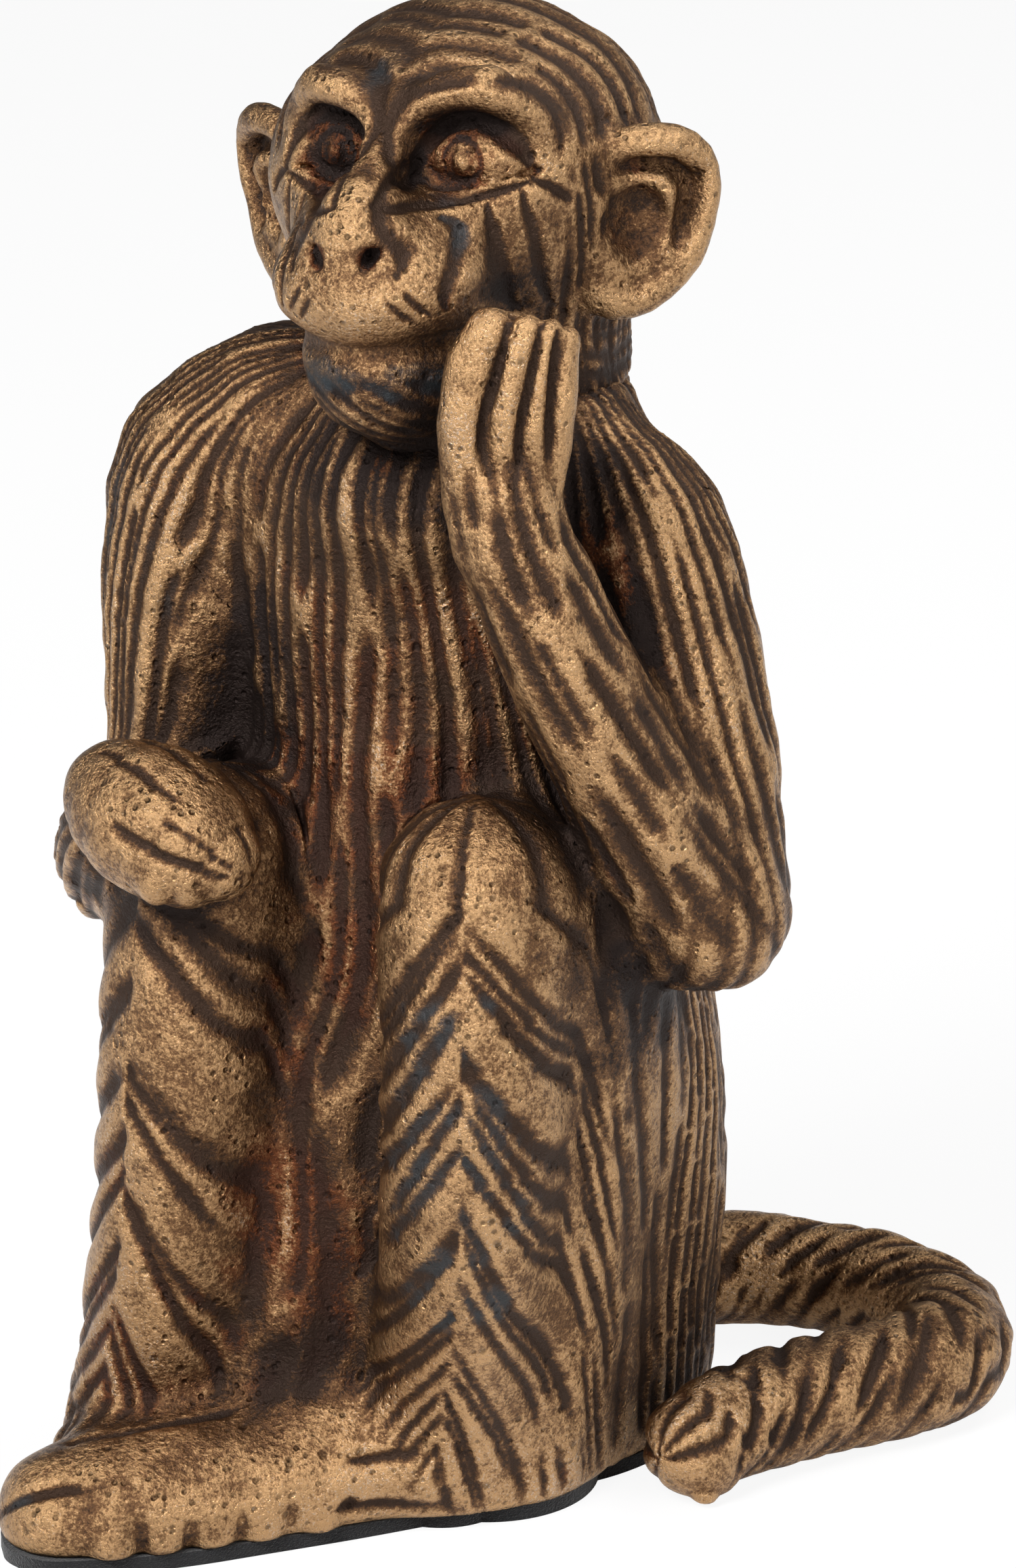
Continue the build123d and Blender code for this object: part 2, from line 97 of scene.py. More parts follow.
RIGHT_FOOT = ((-27.2, -16, 8.4, 10.8), (-30.4, -30.4, 9.6, 11.2), (-32, -41.6, 7.2, 10))
LEFT_ARM = (
    (26.4, 7.2, 165.6, 14.0), (35.8, 7.2, 158.8, 14.4), (41.7, 6.4, 143, 13.8),
    (47.6, 4.8, 122.4, 13.1), (51.6, 0.8, 103.8, 11.8),
)
LEFT_FOREARM = (
    (51.3, 0.8, 103.4, 12.4), (46.0, -10.4, 122.4, 10.9), (38.0, -19.2, 146.4, 9.9),
    (31.6, -23.0, 164, 9.0), (29.6, -24.0, 174, 8.0),
)
RIGHT_ARM = (
    (-27.2, 5.2, 169.2, 15.4), (-36.6, 2.8, 161.5, 15.8), (-39.6, 0, 144, 14.4),
    (-40.0, -2.4, 122.4, 12.6), (-40.4, -6.4, 99.6, 11),
)
RIGHT_FOREARM = ((-40.4, -6.4, 99.6, 12.4), (-40.4, -20.8, 102.7, 11.4), (-35.6, -30, 111.1, 10.2))
RIGHT_FIST = (
    (-35.6, -34.4, 119.6, 5.6), (-31.4, -35.8, 118.8, 9.2), (-25.0, -37.6, 117.2, 11.6),
    (-18.6, -38.8, 115.5, 10.6), (-13.6, -39.4, 113.9, 7.2),
)
TAIL = (
    (8, 51.2, 10.5, 10.3), (23.2, 68.4, 9.2, 9.4), (39.2, 73.6, 9.0, 9.2), (54.0, 72.4, 9.0, 9.3),
    (66.0, 65.2, 8.9, 9.6), (70.5, 52.6, 9.0, 10), (66.0, 41.6, 9.0, 9.9), (57.2, 29.2, 9.0, 9.7),
    (50.6, 16.6, 8.8, 9.2), (47.4, 5.6, 8.6, 7.8),
)
TAIL_TIP = ((48.6, 9.0, 8.0, 6.2), (50.4, 5.6, 5.0, 4.6), (51.8, 2.2, 1.8, 1.7))
# The flesh that fills the lap between the thighs and runs down between the shins
LAP = ((1, -7, 118, 12), (-1, -13, 88, 13), (-5, -17, 56, 13.5), (-9, -21, 26, 13), (-12, -24, 4, 13))
# Share of the way from heel to tip of the left foot, and radius
TOES = ((0.30, 2.6), (0.47, 3.0), (0.62, 3.2), (0.77, 3.3), (0.91, 3.4))
HEAD_CENTRE = (4.4, 12.4, 211.2)
HEAD_TURN, HEAD_TILT = 3.0, 3.0
HAND_CENTRE = (30.0, -24.0, 188.4)
HAND_TURN = 24.0
# In the head's axes. For each eye: side, middle across, share of the width, how much deeper it lies
EYES = ((-1, -10.1, 0.86, 1.2), (1, 11.7, 1.0, 0.0))
BETWEEN_EYES, NOSE_MIDDLE = 0.8, -0.9
NECK_JOINT = 180.5
SHOULDER_JOINT = 157.2
TRUNK_ROUND = 36.0
SEAM_FOOT, SEAM_TOP = 21.6, 12.8
PAD_TOP = 2.5
TAIL_FOOT = 0.3
FAR = 900.0
COARSE_SKIN = 1.5

# The studio: name, degrees round from the front, degrees up, size in m, watts
LAMPS = (("key", -12, 46, 0.5, 22.0), ("fill", 82, 25, 0.6, 5.5), ("rim", 150, 50, 0.6, 7.0))
LAMP_TARGET, LAMP_DISTANCE = (0, 0, 0.12), 1.2
SKY_LIGHT = 0.13
CAMERA_TARGET, CAMERA_DISTANCE = (0.017, 0, 0.118), 1.0
CAMERA_ROUND, CAMERA_UP = 28.0, 20.0
LENS_MM, SENSOR_MM = 146.8, 36.0
FLOOR_REACH = 6.0


# Clay: forms and how they join
def smooth_path(rows, step):
    """Rows of numbers filled in along a smooth curve. Between two rows the curve is the
    cubic that passes both with half the difference of their neighbours as its slopes."""
    rows = np.asarray(rows, float)
    if len(rows) < 3:
        return rows
    before = np.vstack([2 * rows[0] - rows[1], rows, 2 * rows[-1] - rows[-2]])
    out = []
    for i in range(len(rows) - 1):
        a, b, c, d = before[i:i + 4]
        n = max(int(np.linalg.norm((c - b)[:3]) / step), 1)
        t = (np.arange(n) / n)[:, None]
        out.append(b + 0.5 * ((c - a) * t + (2 * a - 5 * b + 4 * c - d) * t ** 2
                              + (3 * b - a - 3 * c + d) * t ** 3))
    return np.vstack(out + [rows[-1:]])


def unit(v):
    """A direction of length one."""
    v = np.asarray(v, float)
    return v / np.linalg.norm(v, axis=-1, keepdims=True)


def turned(about_x=0, about_y=0, about_z=0):
    """Three local axes as rows, turned about x, then y, then z, in degrees."""
    x, y, z = np.radians([about_x, about_y, about_z])
    rx = np.array([[1, 0, 0], [0, np.cos(x), -np.sin(x)], [0, np.sin(x), np.cos(x)]])
    ry = np.array([[np.cos(y), 0, np.sin(y)], [0, 1, 0], [-np.sin(y), 0, np.cos(y)]])
    rz = np.array([[np.cos(z), -np.sin(z), 0], [np.sin(z), np.cos(z), 0], [0, 0, 1]])
    return (rz @ ry @ rx).T


def grid_shell(rings):
    """A closed surface from rings of points, (rows, columns, 3): quads between the rings
    and a fan to one middle point at each end."""
    rows, columns = rings.shape[:2]
    i, j = np.meshgrid(np.arange(rows - 1), np.arange(columns), indexing="ij")
    k = (j + 1) % columns
    quads = np.stack([i * columns + j, i * columns + k, (i + 1) * columns + k, (i + 1) * columns + j], -1)
    points = np.vstack([rings.reshape(-1, 3), rings[0].mean(0), rings[-1].mean(0)])
    low, high = len(points) - 2, len(points) - 1
    j = np.arange(columns)
    k = (j + 1) % columns
    last = (rows - 1) * columns
    fans = [(low, b, a) for a, b in zip(j, k)] + [(high, last + a, last + b) for a, b in zip(j, k)]
    return points, [tuple(q) for q in quads.reshape(-1, 4)] + fans


class Tube:
    """A round bar along a curve with a radius that changes; press=(direction, share) makes
    it thinner along one direction. Its distance is that to the nearest point of the run,
    less the radius there."""

    def __init__(self, rows, blend=4.0, press=None, cut=False, step=5.0, front=(0, -1, 0)):
        path = smooth_path(rows, step)
        self.centres, self.radii = path[:, :3], path[:, 3]
        self.blend, self.cut, self.front = blend, cut, np.asarray(front, float)
        self.press = None if press is None else (unit(press[0]), press[1])
        reach = self.radii.max()
        self.low, self.high = self.centres.min(0) - reach, self.centres.max(0) + reach
        steps = np.linalg.norm(np.diff(self.centres, axis=0), axis=1)
        self.marks = np.concatenate([[0], np.cumsum(steps)])

    def nearest(self, points, full=False):
        """Distance to the surface, and if full, the way along the run and the angle round it."""
        best = np.full(len(points), 1e9)
        spot = np.zeros(len(points))
        aside = np.zeros_like(points)
        runs = np.zeros_like(points)
        for i in range(len(self.centres) - 1):
            a, run = self.centres[i], self.centres[i + 1] - self.centres[i]
            t = np.clip((points - a) @ run / (run @ run), 0, 1)
            offset = points - a - t[:, None] * run
            if self.press is not None:
                axis, share = self.press
                offset = offset + ((offset @ axis) * (1 / share - 1))[:, None] * axis
            d = np.sqrt((offset ** 2).sum(1)) - (self.radii[i] + (self.radii[i + 1] - self.radii[i]) * t)
            closer = d < best
            best = np.where(closer, d, best)
            if full:
                spot = np.where(closer, self.marks[i] + t * np.linalg.norm(run), spot)
                aside = np.where(closer[:, None], offset, aside)
                runs = np.where(closer[:, None], unit(run), runs)
        if not full:
            return best
        ahead = self.front - runs * (runs @ self.front)[:, None]
        ahead = ahead / np.maximum(np.linalg.norm(ahead, axis=1), 1e-6)[:, None]
        side = np.cross(ahead, runs)
        angle = np.arctan2((aside * side).sum(1), (aside * ahead).sum(1))
        return best, spot, angle

    def distance(self, points):
        """How far each point lies outside the bar."""
        return self.nearest(points)

    def shell(self, columns=28):
        """Rings round the run, centre + radius * (cos u * side + sin u * up), domed at both ends."""
        runs = unit(np.gradient(self.centres, axis=0))
        ends = np.radians([78, 58, 38, 18])
        start = np.stack([self.centres[0] - runs[0] * self.radii[0] * np.sin(a) for a in ends])
        stop = np.stack([self.centres[-1] + runs[-1] * self.radii[-1] * np.sin(a) for a in ends[::-1]])
        centres = np.vstack([start, self.centres, stop])
        radii = np.concatenate([self.radii[0] * np.cos(ends), self.radii, self.radii[-1] * np.cos(ends[::-1])])
        runs = np.vstack([np.repeat(runs[:1], 4, 0), runs, np.repeat(runs[-1:], 4, 0)])
        axes = np.eye(3)
        least = axes[np.argmin(np.abs(runs).max(0))]
        side = unit(np.cross(runs, least))
        up = np.cross(side, runs)
        u = np.linspace(0, 2 * np.pi, columns, endpoint=False)
        out = side[:, None] * np.cos(u)[None, :, None] + up[:, None] * np.sin(u)[None, :, None]
        offset = out * radii[:, None, None]
        if self.press is not None:
            axis, share = self.press
            offset = offset - ((offset @ axis) * (1 - share))[..., None] * axis
        return grid_shell(centres[:, None] + offset)


class Blob:
    """An ellipsoid. With p the point in its own axes, k0 = |p / r| and k1 = |p / r^2|, its
    distance is k0 * (k0 - 1) / k1."""

    def __init__(self, centre, radii, axes=None, blend=4.0, cut=False):
        self.centre, self.sizes = np.asarray(centre, float), np.asarray(radii, float)
        self.axes = np.eye(3) if axes is None else np.asarray(axes)
        self.blend, self.cut = blend, cut
        reach = np.sqrt(((self.axes * self.sizes[:, None]) ** 2).sum(0))
        self.low, self.high = self.centre - reach, self.centre + reach

    def distance(self, points):
        """How far each point lies outside, close to the surface."""
        p = (points - self.centre) @ self.axes.T
        k0 = np.sqrt(((p / self.sizes) ** 2).sum(1))
        k1 = np.sqrt(((p / self.sizes ** 2) ** 2).sum(1))
        return k0 * (k0 - 1) / np.maximum(k1, 1e-6)

    def shell(self, rows=20, columns=32):
        """Rings of a ball, sin v round and cos v up, stretched by the three radii."""
        v = np.linspace(0, np.pi, rows + 2)[1:-1, None]
        u = np.linspace(0, 2 * np.pi, columns, endpoint=False)[None]
        ball = np.stack([np.sin(v) * np.cos(u), np.sin(v) * np.sin(u), -np.cos(v) + 0 * u], -1)
        return grid_shell((ball * self.sizes) @ self.axes + self.centre)


class Trunk:
    """An oval that changes up the body. At a height the distance is that of the flat oval."""

    def __init__(self, rows, low, high, blend=8.0):
        self.rows = smooth_path(rows, 4.0)
        self.bottom, self.top = low, high
        self.blend, self.cut = blend, False
        wide = self.rows[:, 3].max() + 4
        self.low, self.high = np.array([-wide, -30.0, low]), np.array([wide, 66.0, high])

    def oval(self, z):
        """Middle across, middle back, half width and half depth at some heights."""
        return [np.interp(z, self.rows[:, 2], self.rows[:, k]) for k in (0, 1, 3, 4)]

    def distance(self, points):
        """How far each point lies outside, with rounded ends at the bottom and the top."""
        cx, cy, a, b = self.oval(points[:, 2])
        x, y = points[:, 0] - cx, points[:, 1] - cy
        k0 = np.hypot(x / a, y / b)
        k1 = np.hypot(x / a ** 2, y / b ** 2)
        d = k0 * (k0 - 1) / np.maximum(k1, 1e-6)
        d = -join(-d, self.top - points[:, 2], 3.0)
        return -join(-d, points[:, 2] - self.bottom, 1.0)

    def shell(self, columns=72):
        """Rings a * cos u, b * sin u round the middle line."""
        z = np.linspace(self.bottom + 0.5, self.top - 0.5, 70)
        cx, cy, a, b = self.oval(z)
        u = np.linspace(0, 2 * np.pi, columns, endpoint=False)[None]
        rings = np.stack([cx[:, None] + a[:, None] * np.cos(u), cy[:, None] + b[:, None] * np.sin(u),
                          z[:, None] + 0 * u], -1)
        return grid_shell(rings)


class Level:
    """All space below a level, to cut a base flat. It may stand last in a list of forms."""

    def __init__(self, height, blend=0.5):
        self.height, self.blend, self.cut = height, blend, True
        self.low, self.high = np.array([-FAR] * 3), np.array([FAR] * 3)

    def distance(self, points):
        """How far each point lies above the level."""
        return points[:, 2] - self.height


def lowest(forms):
    """The level that ends a list of forms, or far below when none does."""
    return getattr(forms[-1], "height", -FAR)


class Placed:
    """A form that is given in the head's or the ear's own axes."""

    def __init__(self, form, centre, axes):
        self.form, self.centre, self.axes = form, np.asarray(centre, float), axes
        self.blend, self.cut = form.blend, form.cut
        corners = np.array([[(form.low, form.high)[(i >> k) & 1][k] for k in range(3)] for i in range(8)])
        corners = corners @ axes + self.centre
        self.low, self.high = corners.min(0), corners.max(0)

    def distance(self, points):
        """The form's distance, asked in its own axes."""
        return self.form.distance((points - self.centre) @ self.axes.T)

    def shell(self):
        """The form's shell, brought to its place."""
        points, faces = self.form.shell()
        return points @ self.axes + self.centre, faces


def join(a, b, blend):
    """The smaller of two distances, with a fillet as wide as blend where they are alike:
    min(a, b) - h * h * blend / 4, where h falls from 1 to 0 as they part by blend."""
    h = np.clip(blend - np.abs(a - b), 0, None) / blend
    return np.minimum(a, b) - h * h * blend / 4


def field(points, forms, reach=14.0):
    """How far each point lies outside all forms together. A form that is cut takes away."""
    value = np.full(len(points), 60.0)
    for form in forms:
        near = np.flatnonzero(np.all((points > form.low - reach) & (points < form.high + reach), axis=1))
        if not len(near):
            continue
        other = form.distance(points[near])
        if form.cut:
            value[near] = -join(-value[near], other, form.blend)
        else:
            value[near] = join(value[near], other, form.blend)
    return value


def settle(points, forms, rounds=2):
    """Moves every point down the slope of the field until it lies where the field is zero,
    p - f * g / |g|^2, and gives the slope there as its outward direction."""
    h = 0.04
    for left in range(rounds, -1, -1):
        f = field(points, forms)
        slope = np.stack([field(points + h * e, forms) - f for e in np.eye(3)], 1) / h
        size = np.clip((slope ** 2).sum(1), 0.25, None)
        if left:
            points = points - np.clip(f / size, -1.5, 1.5)[:, None] * slope
    return points, slope / np.maximum(np.linalg.norm(slope, axis=1), 1e-6)[:, None]


def new_mesh(name, points, faces):
    """A mesh from points and faces."""
    mesh = bpy.data.meshes.new(name)
    mesh.from_pydata(points, [], faces)
    return mesh


def skin(shells, voxel):
    """One skin of even squares over overlapping closed surfaces."""
    points, faces, start = [], [], 0
    for p, f in shells:
        points.append(p)
        faces += [tuple(int(i) + start for i in face) for face in f]
        start += len(p)
    mesh = new_mesh("skin", np.vstack(points).tolist(), faces)
    return reskin(mesh, voxel)


def reskin(mesh, voxel):
    """Blender's voxel remesh of a mesh, as arrays of points and square faces."""
    thing = bpy.data.objects.new("skin", mesh)
    bpy.context.scene.collection.objects.link(thing)
    wrap = thing.modifiers.new("wrap", "REMESH")
    wrap.mode, wrap.voxel_size = "VOXEL", voxel
    made = thing.evaluated_get(bpy.context.evaluated_depsgraph_get()).to_mesh()
    points = np.empty(len(made.vertices) * 3)
    made.vertices.foreach_get("co", points)
    corners = np.empty(len(made.loops), np.int32)
    made.loops.foreach_get("vertex_index", corners)
    thing.to_mesh_clear()
    bpy.data.objects.remove(thing)
    bpy.data.meshes.remove(mesh)
    return points.reshape(-1, 3), corners.reshape(-1, 4)


def square_mesh(name, points, squares):
    """A mesh of square faces straight from arrays."""
    mesh = bpy.data.meshes.new(name)
    mesh.vertices.add(len(points))
    mesh.vertices.foreach_set("co", np.ascontiguousarray(points, np.float32).ravel())
    mesh.loops.add(squares.size)
    mesh.loops.foreach_set("vertex_index", np.ascontiguousarray(squares, np.int32).ravel())
    mesh.polygons.add(len(squares))
    mesh.polygons.foreach_set("loop_start", np.arange(0, squares.size, 4, dtype=np.int32))
    mesh.update(calc_edges=True)
    return mesh


def sides_of(squares):
    """Every edge of the square faces once, as pairs of points."""
    pairs = np.sort(np.vstack([squares[:, [k, (k + 1) % 4]] for k in range(4)]), axis=1)
    key = np.unique(pairs[:, 0].astype(np.int64) << 32 | pairs[:, 1])
    return np.stack([key >> 32, key & 0xFFFFFFFF], 1)


def relax(values, edges, times, share=0.5):
    """Each value moves towards the mean of its neighbours, so many times."""
    flat = values.ndim == 1
    values = values[:, None] if flat else values
    a, b = edges[:, 0], edges[:, 1]
    n = len(values)
    count = np.bincount(np.concatenate([a, b]), minlength=n)[:, None]
    for _ in range(times):
        total = np.stack([np.bincount(a, values[b, k], n) + np.bincount(b, values[a, k], n)
                          for k in range(values.shape[1])], 1)
        values = values + share * (total / count - values)
    return values[:, 0] if flat else values


def clay(forms, voxel):
    """The skin over some forms, none of it below the level that may end their list: a coarse
    one settled on their blend, then a fine one."""
    floor = (-FAR, -FAR, lowest(forms))
    shells = [form.shell() for form in forms if not form.cut]
    shells = [(np.maximum(points, floor), faces) for points, faces in shells]
    points, squares = skin(shells, voxel * COARSE_SKIN)
    points, _ = settle(points, forms)
    points, squares = reskin(square_mesh("skin", points, squares), voxel)
    points, normals = settle(points, forms)
    return points, normals, squares


# Chisel strokes
def chance(*numbers):
    """A steady random number from 0 to 1 for each set of whole numbers."""
    mixed = np.zeros(np.shape(numbers[0]))
    for k, number in enumerate(numbers):
        mixed = mixed + np.asarray(number, float) * (12.9898 + 37.719 * k)
    return np.mod(np.abs(np.sin(mixed) * 43758.5453), 1.0)


def ease(t):
    """0 to 1 with a soft start and end."""
    t = np.clip(t, 0, 1)
    return t * t * (3 - 2 * t)


def window(value, start, end, soft):
    """1 between start and end, 0 outside, soft at both."""
    return ease((value - start) / soft) * ease((end - value) / soft)


def strokes(across, along, pitch, length, seed, wander=0.35, gap=0.12, width=0.74, skip=0.0, start=9.0):
    """Chisel strokes side by side, 0 on the surface and 1 at the bottom of a cut. Lanes are
    pitch apart. In each lane the strokes follow one another, each with its own length,
    sideways place, width and depth; a cut is (1 - |x|)^1.6 across, so a ridge between two
    cuts is round and the bottom is sharp, and it tapers at its ends. A small start sets
    the first strokes of all lanes off from about the same line."""
    total = np.zeros(len(across))
    cell = np.floor(across / pitch)
    for shift in (-1, 0, 1):
        lane = cell + shift
        own = length * (0.65 + 0.7 * chance(lane, 3 + seed))
        s = along / own + chance(lane, 11 + seed) * start
        row = np.floor(s)
        t = s - row
        a = chance(lane, row, 17 + seed)
        b = chance(lane, row, 29 + seed)
        c = chance(lane, row, 41 + seed)
        bend = np.sin(along / (length * 0.31 + 7) + 6.28 * chance(lane, 5 + seed))
        middle = (lane + 0.5 + wander * (a - 0.5 + 0.45 * bend)) * pitch
        half = pitch * width * (0.75 + 0.6 * b)
        taper = ease(np.minimum(t, 1 - t) / gap)
        x = np.abs(across - middle) / (half * (0.5 + 0.5 * taper))
        cut = np.clip(1 - x, 0, 1) ** 1.6 * taper * (0.6 + 0.4 * c) * (c > skip)
        total = np.maximum(total, cut)
    return total


def drawn(points, lines):
    """Single cuts drawn as lines of points in a plane: (half width, depth, points). The
    cut is (1 - x^2)^2 across and fades over the last part of each end."""
    total = np.zeros(len(points))
    for half, depth, line in lines:
        line = smooth_path(np.array(line, float), 1.2)
        best, place = np.full(len(points), 1e9), np.zeros(len(points))
        for k, (a, b) in enumerate(zip(line[:-1], line[1:])):
            run = b - a
            t = np.clip((points - a) @ run / (run @ run), 0, 1)
            gap = np.linalg.norm(points - a - t[:, None] * run, axis=1)
            place = np.where(gap < best, (k + t) / (len(line) - 1), place)
            best = np.minimum(best, gap)
        wide = half * (0.45 + 0.55 * ease(np.minimum(place, 1 - place) / 0.25))
        total = np.maximum(total, depth * np.clip(1 - (best / wide) ** 2, 0, 1) ** 2)
    return total


def mottle(points, size, seed):
    """Soft lumps about as wide as size, from -1 to 1: a sum of sine waves in steady random directions."""
    rng = np.random.default_rng(seed)
    total = np.zeros(len(points))
    for _ in range(9):
        way = unit(rng.normal(size=3)) * 2 * np.pi / (size * rng.uniform(0.8, 2.2))
        total += np.sin(points @ way + rng.uniform(0, 6.28))
    return total / 4.5


# The figure's forms
def head_axes():
    """The head's own axes: left, back and up, tilted with its left side up."""
    return turned(0, -HEAD_TILT, HEAD_TURN)


def on_head(left, forward, up):
    """A point in the head's own axes."""
    return np.array([left, -forward, up], float)


def head_tube(rows, **settings):
    """A tube from rows of left, forward, up and radius."""
    return Tube([(l, -f, u, r) for l, f, u, r in rows], step=2.5, **settings)


def ear_forms(side):
    """A cupped ear: a thin plate, a rolled rim, an inner fold and the hollow between them."""
    flare, lean = 40.0 * side, 7.0 * side
    axes = turned(0, lean, flare)
    centre = on_head(30.5 if side > 0 else -32.4, 1.5, -2.6 if side > 0 else -3.0)

    def bar(rows, blend):
        return Tube([(x * side, -y, z, r) for x, y, z, r in rows], step=2.0, blend=blend)

    own = [
        Blob((-0.8 * side, 0.9, -1.2), (8.2, 2.5, 12.6), blend=1.5),
        bar(((-8.2, 0.4, 7.4, 2.4), (-5.4, 1.4, 9.9, 2.5), (-0.6, 2.0, 10.8, 2.6), (4.4, 1.9, 10.0, 2.4),
             (7.4, 1.5, 6.6, 2.2), (8.0, 1.2, 1.0, 2.1), (6.8, 0.9, -4.6, 2.3), (3.8, 0.8, -9.6, 2.7),
             (-0.4, 0.8, -13.0, 2.9), (-5.0, 0.6, -14.2, 2.8), (-8.4, 0.4, -12.8, 2.6)), 1.4),
        bar(((-6.2, 1.6, 4.6, 1.5), (-2.4, 2.2, 5.2, 1.7), (1.4, 2.3, 2.6, 1.8), (2.6, 2.1, -1.8, 1.7),
             (1.2, 1.8, -6.2, 1.5), (-1.8, 1.6, -8.6, 1.4)), 2.6),
        Blob((-6.8 * side, -0.3, -8.0), (4.2, 3.6, 5.2), blend=2.5),
        Blob((-2.6 * side, -3.8, -1.4), (4.2, 2.4, 6.0), turned(0, -8 * side, 0), blend=3.0, cut=True),
        Blob((4.8 * side, -2.8, 0.8), (1.6, 1.6, 5.8), turned(0, 14 * side, 0), blend=2.4, cut=True),
        Blob((-2.4 * side, -3.0, 7.2), (4.4, 1.6, 1.3), turned(0, -8 * side, 0), blend=2.0, cut=True),
    ]
    return [Placed(form, centre, axes) for form in own]


def head_forms():
    """Skull, brow, cheeks, muzzle, nose, eyes, jaw and ears, in the head's own axes."""
    own = [
        Blob((0, -0.5, 0), (27.2, 29.0, 26.6), blend=6),
        Blob((-1.0, 3.0, 3.4), (27.8, 27.2, 22.5), blend=8),
        Blob(on_head(-0.8, 14.5, 3.5), (24.4, 14.5, 20.5), blend=7),
        head_tube(((0, 14, -5, 18.6), (0, 26, -7, 14.6)), blend=8),
        Blob(on_head(-0.8, 32.6, -8.2), (16.4, 14.8, 9.4), blend=5),
        Blob(on_head(-0.6, 28.6, -20.4), (14.2, 13.2, 12.2), blend=1.6),
        Blob(on_head(0, 35.0, -23.4), (10.4, 8.4, 7.6), blend=3),
        head_tube(((0, 27, -22.6, 10.4), (0, 18, -28.0, 13.0), (0, 8, -33.0, 14.6)), blend=5),
        Blob(on_head(-0.8, 35.0, -1.4), (9.4, 9.2, 6.0), blend=5),
        head_tube(((0.4, 22.5, 18, 4.0), (0.4, 27.6, 13.6, 3.8), (0.3, 32.4, 9, 3.9), (0, 37.0, 5.4, 4.8),
                   (-0.6, 39.8, 2.0, 5.6)), blend=3.6),
    ]
    eyes = []
    for side, mid, w, deep in EYES:
        def at(out, forward, up):
            return on_head(mid + out * side, forward, up)

        def line(rows, **settings):
            return head_tube([(mid + out * side, f, u, r) for out, f, u, r in rows], **settings)

        own += [
            Blob(on_head(NOSE_MIDDLE + 4.9 * side, 38.8, 0.2), (3.6, 3.9, 3.7), blend=2.6),
            line([(w * out, f, u - (1 - w) * 5, r * w) for out, f, u, r in (
                (-10.4, 26.2, 13.2, 2.0), (-8.2, 27.2, 17.0, 2.8), (-2.6, 26.8, 20.0, 3.2), (3.4, 24.4, 20.2, 3.2),
                (7.8, 20.2, 16.4, 2.9), (10.0, 16.0, 10.4, 2.3), (10.6, 13.4, 5.6, 1.8))], blend=3.6),
            line(((-4.4, 27.6, 2.2, 1.8), (0.4, 25.6, 1.6, 2.4), (5.0, 22.4, 3.0, 2.6),
                  (8.6, 17.6, 4.4, 2.2)), blend=3),
            line(((6.4, 21.6, 2.4, 1.9), (7.2, 20.0, -3.0, 2.0), (7.2, 17.8, -9.5, 1.6)), blend=2.4),
            line(((2.2, 25.0, 1.6, 1.9), (3.6, 23.8, -4.0, 1.9), (3.8, 21.6, -9.5, 1.5)), blend=2.4),
        ]
        eyes += [
            Blob(at(-0.2, 31.0 - deep, 12.8), (7.8, 6.4, 4.4), turned(0, -6 * side, 0), blend=1.4, cut=True),
            Blob(at(-0.8, 31.4 - deep, 8.6), (8.2, 6.0, 4.0), blend=1.4, cut=True),
            Blob(at(-0.2, 21.8 - deep, 9.6), (8.2 * w, 6.2, 5.6), turned(0, -6 * side, 0), blend=0.8),
            Blob(at(-0.2, 28.4 - deep, 9.6), (3.1, 1.2, 3.1), blend=0.7, cut=True),
            Blob(at(-0.2, 26.9 - deep, 9.6), (1.4, 1.6, 2.0), blend=0.5),
            line(((-8.4, 27.4, 5.6, 0.9), (-4.2, 28.0, 4.0, 1.3), (0.6, 26.8, 3.9, 1.5), (5.2, 23.8, 5.0, 1.3),
                  (8.8, 19.6, 6.2, 0.9)), blend=0.9),
            line(((-8.6, 28.0, 7.0, 0.7), (-4.2, 28.4, 5.8, 0.8), (0.6, 27.0, 5.7, 0.8), (5.2, 24.2, 6.6, 0.7),
                  (8.6, 20.6, 7.0, 0.6)), blend=0.5, cut=True),
            head_tube([(-0.5 + out * side, f, u, r) for out, f, u, r in (
                (3.8, 45.4, -3.0, 0.9), (4.2, 43.4, -1.4, 1.4), (4.8, 41.0, -0.8, 1.0))], blend=1.0, cut=True),
        ]
    mouth = [
        head_tube(((-19.0, 21, -15.0, 1.0), (-15.4, 33, -17.0, 1.3), (-7.0, 43.0, -17.0, 1.5), (0, 45.4, -16.8, 1.6),
                   (7.0, 42.6, -16.2, 1.5), (14.0, 32.6, -15.4, 1.3), (18.0, 21, -14.0, 1.0)), blend=1.2, cut=True),
        head_tube(((-12.0, 31.6, -20.4, 1.2), (-6, 38.8, -20.4, 1.5), (0, 41.6, -20.2, 1.6), (6, 38.8, -20.0, 1.5),
                   (11.5, 31.6, -19.6, 1.2)), blend=1.6),
    ]
    axes = head_axes()
    placed = [Placed(form, HEAD_CENTRE, axes) for form in own + eyes + mouth]
    for side in (-1, 1):
        for form in ear_forms(side):
            placed.append(Placed(form.form, form.centre @ axes + HEAD_CENTRE, form.axes @ axes))
    return placed


